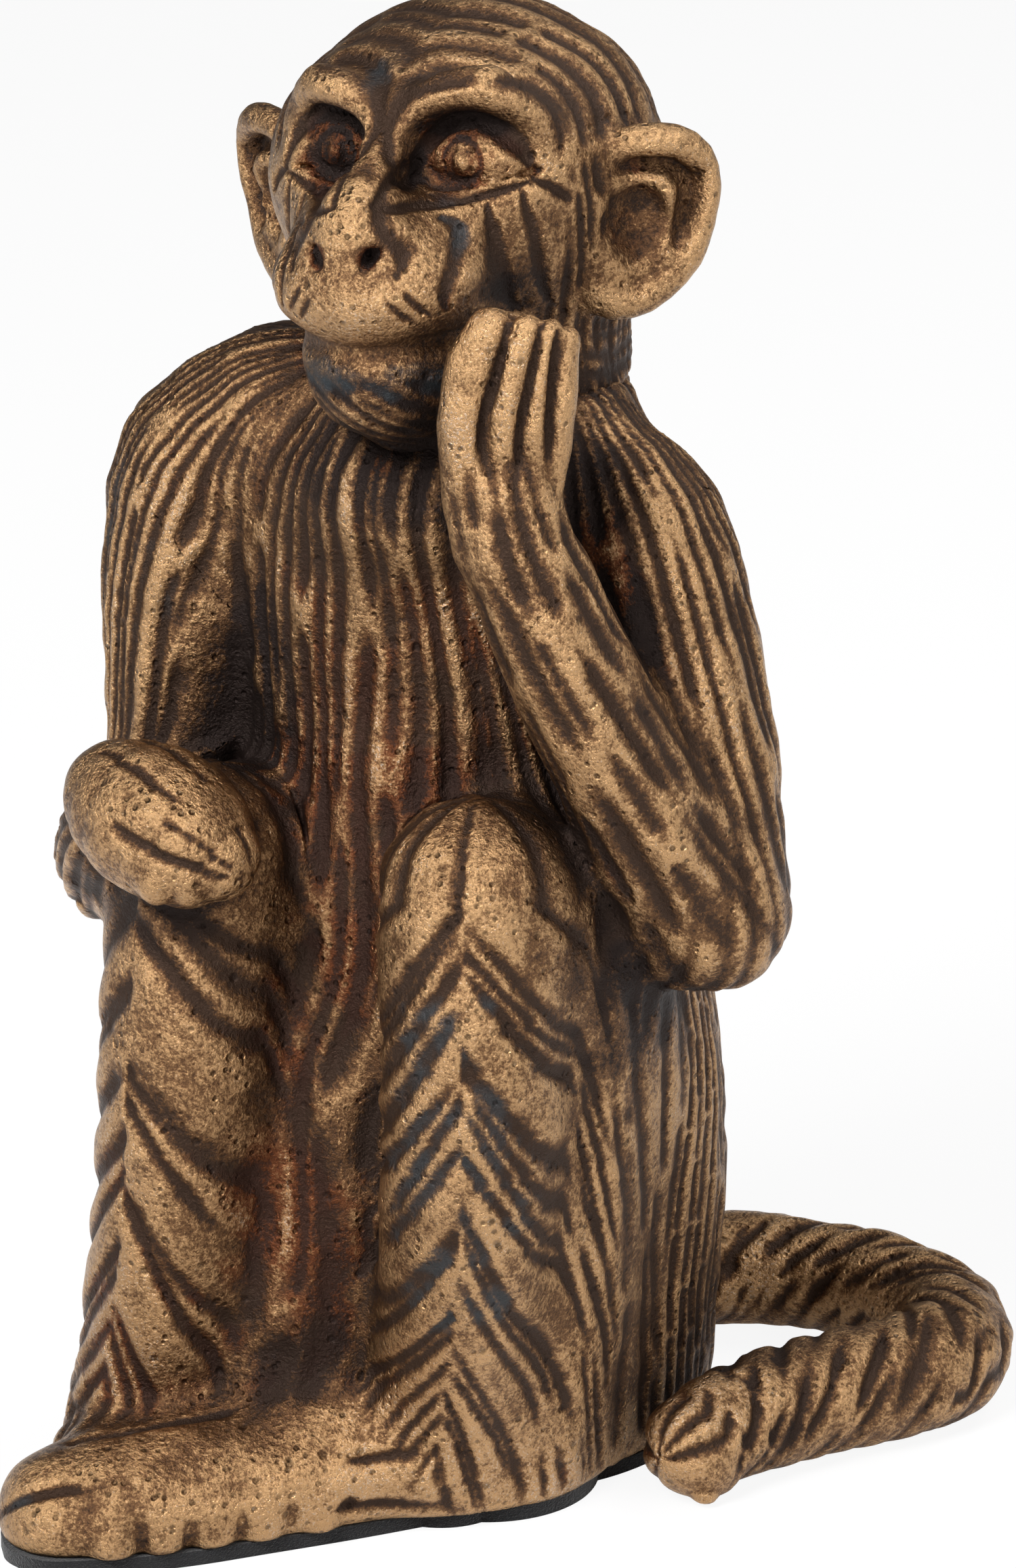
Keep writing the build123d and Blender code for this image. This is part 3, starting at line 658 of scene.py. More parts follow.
def toe_forms():
    """The row of toe ends along the near edge of the left foot, and the creases between them."""
    heel, tip = np.array(LEFT_FOOT[1][:3]), np.array(LEFT_FOOT[-1][:3])
    run = unit(tip - heel)
    out = unit(np.cross(run, (0, 0, 1)))
    out = out if out[1] < 0 else -out
    ends = []
    for share, size in TOES:
        middle = heel + (tip - heel) * share
        root = np.array([middle[0], middle[1], 13.0]) + out * 5.0
        knuckle = np.array([middle[0], middle[1], 9.0]) + out * 9.3
        end = np.array([middle[0], middle[1], 4.0]) + out * 10.0
        ends.append(Tube([(*root, size * 0.9), (*knuckle, size), (*end, size)], blend=1.6))
        gap = heel + (tip - heel) * (share - 0.08)
        ends.append(Tube([(gap[0] + out[0] * 10.5, gap[1] + out[1] * 10.5, 11.0, 0.4),
                          (gap[0] + out[0] * 12.6, gap[1] + out[1] * 12.6, 7.0, 0.9),
                          (gap[0] + out[0] * 13.0, gap[1] + out[1] * 13.0, 3.0, 1.0)], blend=1.4, cut=True))
    return ends


def hand_forms():
    """The raised hand: a flat palm, a thick outer edge and three fingers folded side by side."""
    turn = np.radians(HAND_TURN)
    across = np.array([np.cos(turn), np.sin(turn), 0])
    front = np.array([np.sin(turn), -np.cos(turn), 0])
    centre = np.array(HAND_CENTRE)
    axes = np.stack([across, -front, (0, 0, 1)])
    forms = [Blob(centre + (0, 0, -2.5) - front * 1.6, (9.0, 4.9, 15.6), axes, blend=4)]
    for rows, blend in (
        (((-2.6, 11.2, 3.4, 1.8), (-5.0, 6, 4.1, 2.0), (-6.2, -3, 4.2, 1.8), (-5.6, -13, 4.2, 1.2),
          (-4.2, -22, 4.4, 0.2)), 2.0),
        (((2.8, 11.6, 2.5, 3.0), (0.4, 4, 2.7, 3.9), (-0.4, -6, 2.5, 3.5), (0.0, -13, 2.0, 2.6)), 0.7),
        (((6.0, 11.4, 2.1, 2.4), (4.4, 3, 2.3, 3.5), (3.8, -6, 2.1, 3.3), (3.9, -12, 1.7, 2.6)), 0.7),
        (((8.4, 10.0, 2.0, 1.0), (7.8, 2, 2.2, 2.0), (7.1, -6, 2.1, 2.0), (6.6, -12, 1.6, 1.4)), 0.7),
    ):
        path = [(*(centre + across * out + front * ahead + (0, 0, up)), radius)
                for out, up, radius, ahead in rows]
        forms.append(Tube(path, blend=blend, step=3.5))
    return forms


def figure_forms():
    """Every form of the figure by the casting it belongs to."""
    body = [
        Trunk(TRUNK, -4.0, NECK_JOINT),
        Blob((4, -2.5, 167), (21, 17, 14), blend=8), Blob((-19, 9, 170), (15, 13, 11.5), blend=8),
        Tube(LEFT_THIGH, blend=10), Tube(RIGHT_THIGH, blend=10), Tube(LEFT_CALF, blend=8), Tube(RIGHT_CALF, blend=8),
        Tube(LEFT_SHIN, blend=5, front=(0.35, -0.94, 0)), Tube(RIGHT_SHIN, blend=5, front=(-0.22, -0.97, 0)),
        Tube(LEFT_FOOT, blend=7, press=((0, 0, 1), 0.92), front=(0.7, -0.7, 0.4)),
        Tube(RIGHT_FOOT, blend=7, press=((0, 0, 1), 0.92), front=(0, 0, 1)),
    ] + toe_forms() + [Tube(LAP, blend=8)]
    left_arm = [Tube(LEFT_ARM, blend=8), Tube(LEFT_FOREARM, blend=5)] + hand_forms()
    right_arm = [Tube(RIGHT_ARM, blend=8), Tube(RIGHT_FOREARM, blend=3), Tube(RIGHT_FIST, blend=1.2, step=3),
                 Blob((-14.2, -45.2, 111.6), (2.6, 2.6, 4.0), blend=1.2),
                 Blob((-19.2, -47.2, 110.8), (2.6, 2.2, 3.4), blend=1.6)]
    tail = [Tube(TAIL, blend=4, front=(0, 0, 1)), Tube(TAIL_TIP, blend=3), Level(TAIL_FOOT, blend=1.0)]
    return {"body": body, "left_arm": left_arm, "right_arm": right_arm, "tail": tail, "head": head_forms()}


FORMS = figure_forms()
LIMBS = FORMS["body"] + FORMS["left_arm"] + FORMS["right_arm"] + [Level(PAD_TOP)]
HEAD = [Trunk(TRUNK, NECK_JOINT, 205.0)] + FORMS["head"]
EARS = FORMS["head"][-2 * len(ear_forms(1)):]
AROUND = HEAD + LIMBS


# Fur, hair and tool marks
def seam_back(points):
    """How far each point lies behind the leaning plane where the two body shells meet."""
    lean = (SEAM_FOOT - SEAM_TOP) / NECK_JOINT
    return points[:, 1] - SEAM_FOOT + lean * points[:, 2]


def round_trunk(points):
    """The way round the trunk in mm at its fullest, from the front towards the left side."""
    trunk = FORMS["body"][0]
    cx, cy, a, b = trunk.oval(points[:, 2])
    angle = np.arctan2((points[:, 0] - cx) / a, -(points[:, 1] - cy) / b)
    return angle * TRUNK_ROUND


def from_ridge(form, points):
    """The way round a leg from its front line in mm, also on the flesh behind the shin."""
    distance, _, angle = form.nearest(points, full=True)
    reach = 13.0 + np.maximum(distance, 0)
    return np.where(np.abs(angle) < np.pi / 2, reach * np.abs(np.sin(angle)), reach * (1 - 0.8 * np.cos(angle)))


def limb_strokes(form, points, lean, size, pitch, length, seed, mirrored=False, **style):
    """Strokes on a limb: lanes run along it, leaning by some degrees round it. With
    mirrored=True they leave the front line of the limb on both sides and run down
    and away from it, like a fishbone, steeper further down."""
    _, along, angle = form.nearest(points, full=True)
    if mirrored:
        around = from_ridge(form, points)
        steep = np.tan(np.radians(lean)) + along / 90.0
        return strokes((along - steep * around) * 0.72, around * np.hypot(1, steep), pitch, length,
                       seed + np.where(angle > 0, 50, 0), start=0.35, **style)
    around = angle * size
    c, s = np.cos(np.radians(lean)), np.sin(np.radians(lean))
    return strokes(around * c - along * s, along * c + around * s, pitch, length, seed, **style)


def torso_strokes(points):
    """Long upright grooves, close together under the neck, and straight short cuts on the
    dressed band where the two shells were joined."""
    around, z = round_trunk(points), points[:, 2]
    swayed = around + 2.2 * np.sin(z / 23.0) + 1.2 * np.sin(z / 9.0 + around / 8.0)
    long = strokes(swayed, z, 3.9, 70.0, 1, wander=0.5, gap=0.1)
    hip = strokes(around + 0.10 * z, z, 4.6, 30.0, 2, wander=0.5, width=0.48) * 0.75
    low = ease((92.0 - z) / 16.0) * ease((np.abs(around) - 26.0) / 10.0)
    band = window(seam_back(points), -9.0, 9.0, 3.0) * ease((150 - z) / 30) * ease(z / 12)
    cuts = strokes(around + 0.03 * z, z, 2.9, 15.0, 3, wander=0.15, gap=0.05, width=0.44)
    both = long * (1 - low) + hip * low
    return both * (1 - band) + cuts * band, band


# Cuts between the fingers of the raised hand, as mm across and up from its middle
HAND_LINES = (
    (1.2, 0.9, ((0.6, 14.0), (-1.6, 6.0), (-3.7, -3.6), (-2.4, -10.0), (2.4, -20.0))),
    (1.0, 0.8, ((5.2, 13.5), (3.2, 4.0), (1.8, -3.6), (1.6, -12.0))),
    (1.0, 0.8, ((7.6, 12.0), (6.6, 3.0), (6.0, -8.0))),
)


def fur(points):
    """The depth of the strokes, from 0 to 1, and how much each place was filed, from 0 to 1.
    Every limb has its own strokes; where two meet they fade into each other."""
    *trunk, left_calf, right_calf, left_shin, right_shin, left_foot, right_foot = FORMS["body"][:11]
    *toes, lap = FORMS["body"][11:]
    left_arm, left_forearm, *hand = FORMS["left_arm"]
    right_arm, right_forearm, fist = FORMS["right_arm"][:3]
    fishbone = dict(mirrored=True, gap=0.2, wander=0.8, width=0.44)
    regions = [
        (trunk + [lap], None),
        ([left_shin, left_calf], dict(lean=50, size=16, pitch=4.9, length=44, seed=4, **fishbone)),
        ([right_shin, right_calf], dict(lean=44, size=16, pitch=6.4, length=52, seed=5, **fishbone)),
        ([left_foot], dict(lean=-6, size=12, pitch=4.6, length=30, seed=16, width=0.34, skip=0.88)),
        ([right_foot], dict(lean=4, size=11, pitch=4.4, length=30, seed=7)),
        ([left_arm], "left arm"),
        ([left_forearm], dict(lean=3, size=10, pitch=4.4, length=26, seed=9, gap=0.25)),
        ([right_arm], "right arm"),
        ([right_forearm], dict(lean=0, size=11, pitch=3.4, length=40, seed=11)),
        ([fist], dict(lean=-10, size=12, pitch=4.0, length=22, seed=12, gap=0.3, width=0.36, skip=0.6)),
        (hand, "hand"),
        (toes, "plain"),
    ]
    distances = np.stack([field(points, forms, 6.0) for forms, _ in regions])
    shares = np.exp(-(distances - distances.min(0)) / 1.6)
    shares /= shares.sum(0)
    depth, filed = np.zeros(len(points)), np.zeros(len(points))
    for (forms, style), share in zip(regions, shares):
        near = np.flatnonzero(share > 0.02)
        if style == "plain":
            continue
        if style is None:
            cut, band = torso_strokes(points[near])
            filed[near] += band * share[near]
        elif style == "left arm":
            around = round_trunk(points[near]) * 1.3
            cut = strokes(around, points[near, 2], 3.4, 60.0, 8, wander=0.2, width=0.5)
        elif style == "right arm":
            around = round_trunk(points[near]) * 2.3
            cut = strokes(around, points[near, 2], 3.6, 70.0, 10, wander=0.4, gap=0.08, width=0.5)
        elif style == "hand":
            own = (points[near] - HAND_CENTRE) @ turned(0, 0, HAND_TURN).T
            cut = drawn(own[:, [0, 2]], HAND_LINES) * ease(-own[:, 1] / 1.5)
        else:
            cut = limb_strokes(forms[0], points[near], **style)
            if "mirrored" in style:
                away = ease((from_ridge(forms[0], points[near]) - 28.0) / 9.0)
                cut = cut * (1 - away) + torso_strokes(points[near])[0] * away
        depth[near] += cut * share[near]
    floor_edge = ease((8.0 - points[:, 2]) / 5.0)
    filed = np.maximum(filed, floor_edge)
    return depth * (1 - 0.7 * floor_edge), np.clip(filed, 0, 1)


def tail_fur(points):
    """Slanting ridges round the tail, with its lower side filed."""
    cut = limb_strokes(FORMS["tail"][0], points, 55, 10, 4.6, 24, 13, gap=0.3, wander=0.5, width=0.5)
    filed = ease((9.0 - points[:, 2]) / 5.0)
    return cut * (1 - 0.6 * filed), filed


# Cuts in the face, as mm outwards from the middle of the eye and up the head
FACE_LINES = (
    (1.2, 0.6, ((-1.2, 2.4), (1.0, 0.6), (2.0, -4.0), (1.8, -10.0))),
    (1.3, 0.6, ((4.0, 3.4), (4.8, -2.0), (5.2, -7.0), (4.6, -14.0))),
    (1.2, 0.6, ((8.2, 4.6), (9.0, -1.0), (9.0, -7.0), (8.0, -14.0))),
    (1.8, 0.9, ((-8.0, 5.8), (-6.8, 10.4), (-2.6, 14.8), (2.4, 15.4), (7.2, 11.6), (9.6, 6.4))),
    (0.9, 0.9, ((-8.4, 5.6), (-4.4, 4.4), (0.6, 4.2), (5.2, 5.0), (9.6, 6.2))),
    (0.7, 0.5, ((-3.2, 9.6), (-2.0, 12.2), (0.4, 12.9), (2.6, 11.2), (3.0, 8.6), (1.4, 6.9), (-1.2, 6.7),
                (-3.0, 8.6))),
    (0.8, 0.6, ((-4.6, -8.0), (-2.0, -11.5))),
    (0.8, 0.6, ((-2.6, -6.6), (0.0, -10.4))),
    (1.0, 0.8, ((9.4, 6.2), (11.6, 4.6), (13.0, 2.0))),
)
# Cuts beside the nose, as mm from its middle line and up the head
NOSE_LINES = ((1.7, 0.6, ((4.8, 8.0), (5.4, 4.6), (7.4, 0.8), (9.2, -1.6), (8.8, -4.2))),)


def hair(points):
    """The depth of the cuts in the head, from 0 to 1: arched folds over each eye that go on
    over the crown, lines in front of the ears and down the nape, beard lines, and the
    single cuts of the face. It works in the head's own axes."""
    own = (points - HEAD_CENTRE) @ head_axes().T
    left, forward, up = own[:, 0], -own[:, 1], own[:, 2]
    right_eye, left_eye = (middle for _, middle, _, _ in EYES)
    out = np.where(left > BETWEEN_EYES, left - left_eye, right_eye - left)
    rho = np.sqrt(out ** 2 + (forward - 25.0) ** 2 + (up - 10.0) ** 2)
    turn = np.arctan2(out, up - 10.0 + 1e-6)
    nape = ease((-9.0 - forward) / 6.0)
    crown = ease((up - 7.0) / 5.0) * ease((rho - 11.2) / 1.4) * (1 - nape)
    waved = rho + 0.8 * np.sin(turn * 2.2 + left * 0.1)
    arcs = strokes(waved, turn * 26.0, 5.0, 60.0, 21, wander=0.25, gap=0.08, width=0.5)
    round_head = np.arctan2(left, forward) * 27.0
    sides = strokes(round_head + 0.12 * up, up, 2.6, 26.0, 22, wander=0.4)
    cheek = ease((19.0 - forward) / 4.0) * ease((9.0 - up) / 4.0) * ease((np.abs(left) - 12) / 4)
    cheek = np.maximum(cheek, nape)
    beard = strokes(left * 0.6 + up * 0.8, left * 0.8 - up * 0.6, 2.8, 22.0, 23)
    chin = ease((-20.0 - up) / 3.0)
    nose = drawn(np.stack([np.abs(left - NOSE_MIDDLE), up], 1), NOSE_LINES)
    face = np.maximum(drawn(np.stack([out, up], 1), FACE_LINES), nose) * ease((forward - 8.0) / 6.0)
    depth = np.maximum.reduce([arcs * crown, sides * cheek, beard * chin * 0.8, face])
    ears = np.min([form.distance(points) for form in EARS if not form.cut], axis=0)
    return depth * ease((ears - 0.5) / 2.0)


# Where the patina gathers, and patches of painted shade in the eye sockets and nostrils, under
# the chin, jaw, fist and hand and between the limbs and the body: kind, middle, reach across,
# back and up, strength. Those of the head are in its own axes, with forward as the second number.
STAINS = (
    ("rust", (2, -14, 104), (26, 16, 30), 0.8), ("rust", (-8, -26, 50), (15, 18, 48), 0.8),
    ("rust", (6, -14, 140), (24, 18, 26), 0.5), ("rust", (34, -2, 150), (12, 12, 22), 0.7),
    ("rust", (-26, -40, 40), (18, 18, 40), 0.4), ("rust", (-24, -4, 172), (20, 20, 12), 0.4),
    ("painted_shade", (-23, -10, 128), (9, 18, 24), 1.0), ("painted_shade", (36, -6, 140), (12, 14, 26), 0.8),
    ("painted_shade", (-28, -34, 103), (16, 16, 8), 0.5), ("painted_shade", (6, -20, 172), (28, 16, 9), 0.7),
    ("painted_shade", (32, -10, 172), (10, 12, 16), 0.8), ("painted_shade", (-6, -30, 24), (12, 14, 18), 0.4),
    ("painted_shade", (46, 30, 12), (22, 30, 14), 0.5), ("painted_shade", (44, -4, 90), (20, 20, 14), 0.7),
    ("blue", (28, -40, 66), (14, 16, 42), 0.8), ("blue", (-38, -62, 6), (12, 12, 9), 0.8),
    ("blue", (-44, -8, 150), (16, 20, 24), 0.7), ("blue", (-10, -24, 30), (10, 12, 26), 0.6),
)
# The head's patches of painted shade sit under the brow, in the eye sockets and nostrils, along the mouth, under the
# jaw and in front of the ear
HEAD_STAINS = (
    ("rust", (12.0, 27, 10.5), (9.5, 8, 7.5), 0.8), ("rust", (-10.4, 27, 11), (9, 8, 7.5), 1.2),
    ("rust", (3.6, 43, -2.0), (2.6, 4, 3.0), 1.2), ("rust", (-4.0, 43, -2.0), (2.6, 4, 3.0), 1.2),
    ("painted_shade", (12.0, 26, 15.2), (9.0, 7, 3.4), 0.8), ("painted_shade", (4.4, 26, 8.0), (2.0, 7, 5.0), 0.7),
    ("painted_shade", (-10.4, 27, 12.0), (7.0, 8, 6.5), 0.7),
    ("painted_shade", (3.6, 43, -1.4), (1.9, 4, 2.4), 1.0), ("painted_shade", (-4.0, 43, -1.4), (1.9, 4, 2.4), 1.0),
    ("blue", (9.0, 30, -5.0), (7.0, 10, 9.0), 0.9), ("painted_shade", (17.0, 22, -12.0), (10, 10, 6.0), 0.6),
    ("painted_shade", (2.0, 36, -21.5), (17, 16, 4.5), 1.0), ("blue", (2.0, 36, -21.0), (17, 16, 4.0), 1.0),
    ("painted_shade", (5.0, 28, -32.0), (20, 18, 6.0), 0.9), ("blue", (-2.0, 24, 24.0), (5.0, 8, 7.0), 0.8),
    ("rust", (30.0, 4, -3.0), (6.0, 8, 8.0), 0.7), ("painted_shade", (26.0, 0, -4.0), (5.0, 8, 16.0), 0.6),
)


def stains(points, kind):
    """How much of one kind of mark, rust, verdigris or painted shade, lies at each point: soft balls with ragged
    edges.
    """
    own = (points - HEAD_CENTRE) @ head_axes().T * (1, -1, 1)
    ragged = 0.18 * mottle(points, 9.0, 7) + 0.14 * mottle(points, 3.5, 8)
    total = np.zeros(len(points))
    for places, table in ((points, STAINS), (own, HEAD_STAINS)):
        for name, middle, reach, strength in table:
            if name == kind:
                far = np.linalg.norm((places - middle) / reach, axis=1) + ragged
                total = np.maximum(total, strength * ease((1.15 - far) / 0.6))
    return total


# What every point of a shape holds for the finish
# Rust and verdigris that the metal has, and patches of painted shade
KINDS = ("rust", "blue", "painted_shade")
MARKS = ("cut", "rise", "lit", "filed") + KINDS


def shape_up(forms, voxel, pattern, depth_mm):
    """The clay of some forms with its strokes cut in, and what the finish needs to know at
    every point: how deep the cut is, how far the surface stands out, how open it lies to
    the light, which the finish turns partly into painted shade, how much it was filed and
    how much rust, verdigris and painted shade lies there."""
    points, normals, squares = clay(forms, voxel)
    cut, filed = pattern(points)
    edges = sides_of(squares)
    lumps = 0.22 * mottle(points, 11.0, 5) + 0.12 * mottle(points, 4.5, 6)
    rim = ease((points[:, 2] - lowest(forms)) / 1.5)
    lift = lumps * (1 - 0.6 * filed) - depth_mm * (relax(cut, edges, 1) - 0.2)
    points = points + normals * (lift * rim)[:, None]
    points = relax(points, edges, 1, 0.4)
    fine = ((points - relax(points, edges, 4)) * normals).sum(1)
    broad = ((points - relax(points, edges, 40)) * normals).sum(1)
    rise = np.clip(fine / 0.10, -1, 1) * 0.6 + np.clip(broad / 0.8, -1, 1) * 0.4
    # How open each point lies, from the room the forms leave along its outward direction: the finish darkens closed
    # hollows with it as painted shade, and gathers rust there too
    lit = np.zeros(len(points))
    for way, weight in ((3.0, 0.3), (7.0, 0.3), (13.0, 0.4)):
        lit += weight * np.clip(field(points + normals * way, AROUND, way + 2) / way, 0, 1)
    shape = {"points": points, "squares": squares, "cut": cut, "rise": rise, "lit": relax(lit, edges, 6),
             "filed": filed}
    return shape | {kind: stains(points, kind) for kind in KINDS}


def casting(name, shape, keep=None, node=None):
    """One casting from a shape, or from those of its faces that keep names, with its open
    edges closed by flat triangles."""
    squares = shape["squares"] if keep is None else shape["squares"][keep]
    used, flat = np.unique(squares, return_inverse=True)
    mesh = square_mesh(name, shape["points"][used] * MM * figure_scale(), flat.reshape(squares.shape))
    for key in MARKS:
        mesh.attributes.new(key, "FLOAT", "POINT").data.foreach_set("value", shape[key][used].astype(np.float32))
    if keep is not None:
        bm = bmesh.new()
        bm.from_mesh(mesh)
        rims = [edge for edge in bm.edges if edge.is_boundary]
        caps = bmesh.ops.holes_fill(bm, edges=rims, sides=0)["faces"]
        bmesh.ops.triangulate(bm, faces=caps)
        for edge in rims:
            edge.smooth = False
        bm.to_mesh(mesh)
        bm.free()
    mesh.polygons.foreach_set("use_smooth", np.ones(len(mesh.polygons), bool))
    thing = bpy.data.objects.new(name, mesh)
    bpy.context.scene.collection.objects.link(thing)
    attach(thing, "root")
    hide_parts(node or name)
    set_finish(thing, "patinated_metal")


def figure_scale():
    """How much larger than its usual height the figure is made."""
    return bpy.context.scene.monkey_sizes.height / (FIGURE_HEIGHT * MM)


# Finishes
class Wire:
    """One socket of a finish. Sums, differences and products of it add Math nodes."""

    def __init__(self, shop, socket):
        self.shop, self.socket = shop, socket

    def math(self, operation, first, second, clamp=False):
        """A Math node on two values."""
        return self.shop.node("ShaderNodeMath", {"operation": operation, "use_clamp": clamp},
                              {0: first, 1: second})

    def __add__(self, other):
        return self.math("ADD", self, other)

    def __sub__(self, other):
        return self.math("SUBTRACT", self, other)

    def __rsub__(self, other):
        return self.math("SUBTRACT", other, self)

    def __mul__(self, other):
        return self.math("MULTIPLY", self, other)

    def clamp(self):
        """Held between 0 and 1."""
        return self.math("ADD", self, 0.0, True)

    __radd__, __rmul__ = __add__, __mul__


class Finish:
    """The nodes of a material or a world, and the ways to add to them."""

    def __init__(self, holder):
        holder.use_nodes = True
        self.holder, self.tree = holder, holder.node_tree
        self.tree.nodes.clear()

    def node(self, kind, settings=None, sockets=None, out=0):
        """A node of a type, with its settings first and then the values or wires of its
        sockets. Gives the wire of one of its outputs."""
        made = self.tree.nodes.new(kind)
        for key, value in (settings or {}).items():
            setattr(made, key, value)
        for key, value in (sockets or {}).items():
            if isinstance(value, Wire):
                self.tree.links.new(value.socket, made.inputs[key])
            else:
                made.inputs[key].default_value = value
        return Wire(self, made.outputs[out])

    def attribute(self, name):
        """A number that the mesh holds at every point."""
        return self.node("ShaderNodeAttribute", {"attribute_name": name}, out="Fac")

    def place(self, stretch=(1, 1, 1), turn=(0, 0, 0)):
        """Object coordinates in metres, stretched and turned."""
        spot = self.node("ShaderNodeTexCoord", out="Object")
        return self.node("ShaderNodeMapping", None, {0: spot, 2: turn, 3: stretch})

    def noise(self, size_mm, detail=3.0, rough=0.55, place=None):
        """Cloudy noise, about 0 to 1, with lumps of a size in mm."""
        return self.node("ShaderNodeTexNoise", None, {"Vector": place or self.place(), "Scale": 1000.0 / size_mm,
                                                      "Detail": detail, "Roughness": rough})

    def step(self, value, start, end):
        """0 below start and 1 above end, soft between."""
        return self.node("ShaderNodeMapRange", {"interpolation_type": "SMOOTHSTEP"},
                         {"Value": value, "From Min": start, "From Max": end, "To Min": 0.0, "To Max": 1.0})

    def pits(self, pitch_mm, size, share):
        """Round pits strewn a pitch apart, 1 in their middles; only a share of the cells has one."""
        spot = self.place()
        cell = {"Vector": spot, "Scale": 1000.0 / pitch_mm, "Randomness": 1.0}
        near = self.node("ShaderNodeTexVoronoi", None, cell, "Distance")
        own = self.node("ShaderNodeTexVoronoi", None, cell, "Color")
        own = self.node("ShaderNodeSeparateColor", None, {0: own})
        return (1.0 - self.step(near, size * 0.35, size)) * (1.0 - self.step(own, share, share + 0.02))

    def mix(self, first, second, share):
        """A colour between two colours."""
        return self.node("ShaderNodeMix", {"data_type": "RGBA"}, {0: share, 6: first, 7: second}, 2)

    def surface(self, shader, kind="ShaderNodeOutputMaterial"):
        """The material or world, with its shader joined to its output."""
        output = self.tree.nodes.new(kind)
        self.tree.links.new(shader.socket, output.inputs["Surface"])
        return self.holder


def paint(colour):
    """A colour with its fourth number."""
    return (*colour[:3], 1.0)


def patinated_metal():
    """Cast metal under a dark patina that was rubbed back to gold on what stands out: dark
    in the cuts, rust red in the deep hollows, blue-green in some grooves, with pits and
    file marks. Painted shade darkens the closed hollows and the patches of painted shade
    from the stain tables."""
    c = bpy.context.scene.monkey_colours
    f = Finish(bpy.data.materials.new("patinated metal"))
    cut, rise, lit, filed, rusty, bluish, painted_shade = (f.attribute(key) for key in MARKS)
    clouds = f.noise(26.0, 3.0, 0.6)
    blotch = f.noise(7.0, 4.0, 0.6)
    grit = f.noise(0.95, 4.0, 0.75)
    speck = f.noise(0.38, 2.0, 0.6)
    small = f.pits(1.5, 0.40, 0.55)
    large = f.pits(4.2, 0.22, 0.35)
    pit = (small * f.step(blotch, 0.42, 0.60) * 0.8 + large * 0.7).clamp()
    # The lit term takes gold away where the surface is closed in: partly patina left in the hollows, partly painted
    # shade
    worn = rise * 0.55 + 0.46 - cut * 1.7 + (lit - 0.8) * 0.5 + (clouds - 0.5) * 1.8 + (blotch - 0.5) * 1.8
    # The patches of painted shade take gold away and leave the patina darker
    worn = worn + (grit - 0.5) * 2.8 + (speck - 0.5) * 1.4 - painted_shade * 0.5 - rusty * 0.15
    gold = f.step(worn, 0.15, 1.05)
    dark = 1.0 - f.step(worn, -0.55, 0.30)
    # Closed hollows: where the rust gathers, and painted shade
    deep = 1.0 - f.step(lit, 0.30, 0.80)
    rust = rusty * 0.75 + deep * 0.35 + cut * 0.25 + (clouds - 0.5) * 1.6 + (blotch - 0.5) * 1.0
    rust = f.step(rust, 0.35, 0.90)
    blue = f.step(bluish * 0.8 + (0.5 - clouds) * 1.4 + (blotch - 0.5) * 1.5, 0.40, 0.90)
    blue = blue * f.step(cut + bluish * 0.35 + painted_shade * 0.3, 0.15, 0.6)
    colour = f.mix(paint(c.bronze), paint(c.gold), gold)
    colour = f.mix(colour, paint(c.rust), rust * 0.75 * (1.0 - gold * 0.65))
    # The dark colour: the dark patina of the cuts, and painted shade over closed hollows and the shade patches
    colour = f.mix(colour, paint(c.dark), (dark * 0.8 + deep * 0.12 + painted_shade * 0.25 * (1.0 - gold)).clamp())
    colour = f.mix(colour, paint(c.verdigris), blue * 0.55 * (1.0 - gold * 0.7))
    colour = f.mix(colour, paint(c.dark), pit * 0.75)
    bare = f.step(speck * gold + f.step(clouds, 0.5, 0.7) * 0.12, 0.62, 0.74)
    colour = f.mix(colour, paint(c.silver), bare * 0.3)
    scratch = f.noise(0.32, 2.0, 0.5, f.place((1, 1, 0.06), (0.15, 0.1, 0)))
    height = (grit - 0.5) * 0.50 + (speck - 0.5) * 0.15 - pit * 0.45 + (blotch - 0.5) * 0.6
    height = height + (scratch - 0.5) * filed * 0.25
    bump = f.node("ShaderNodeBump", None, {"Strength": 1.0, "Distance": MM, "Height": height})
    rough = (0.36 - gold * 0.08 + dark * 0.14 + (grit - 0.5) * 0.3 + pit * 0.1).clamp()
    shader = f.node("ShaderNodeBsdfPrincipled", None, {
        "Base Color": colour, "Metallic": (1.0 - dark * 0.25).clamp(), "Roughness": rough, "Normal": bump})
    return f.surface(shader)


def felt():
    """Black felt: matt, with a soft nap and a few pale fibres."""
    c = bpy.context.scene.monkey_colours
    f = Finish(bpy.data.materials.new("felt"))
    nap = f.noise(0.5, 4.0, 0.7)
    fibre = f.noise(0.25, 2.0, 0.6, f.place((1, 0.12, 1), (0.3, 0.8, 0.5)))
    colour = f.mix(paint(c.felt), (0.09, 0.085, 0.08, 1), f.step(fibre, 0.62, 0.8) * 0.6)
    bump = f.node("ShaderNodeBump", None, {"Strength": 1.0, "Distance": MM, "Height": nap * 0.35 + fibre * 0.25})
    shader = f.node("ShaderNodeBsdfPrincipled", None, {"Base Color": colour, "Roughness": 0.95, "Normal": bump,
                                                       "Sheen Weight": 0.25, "Specular IOR Level": 0.15})
    return f.surface(shader)


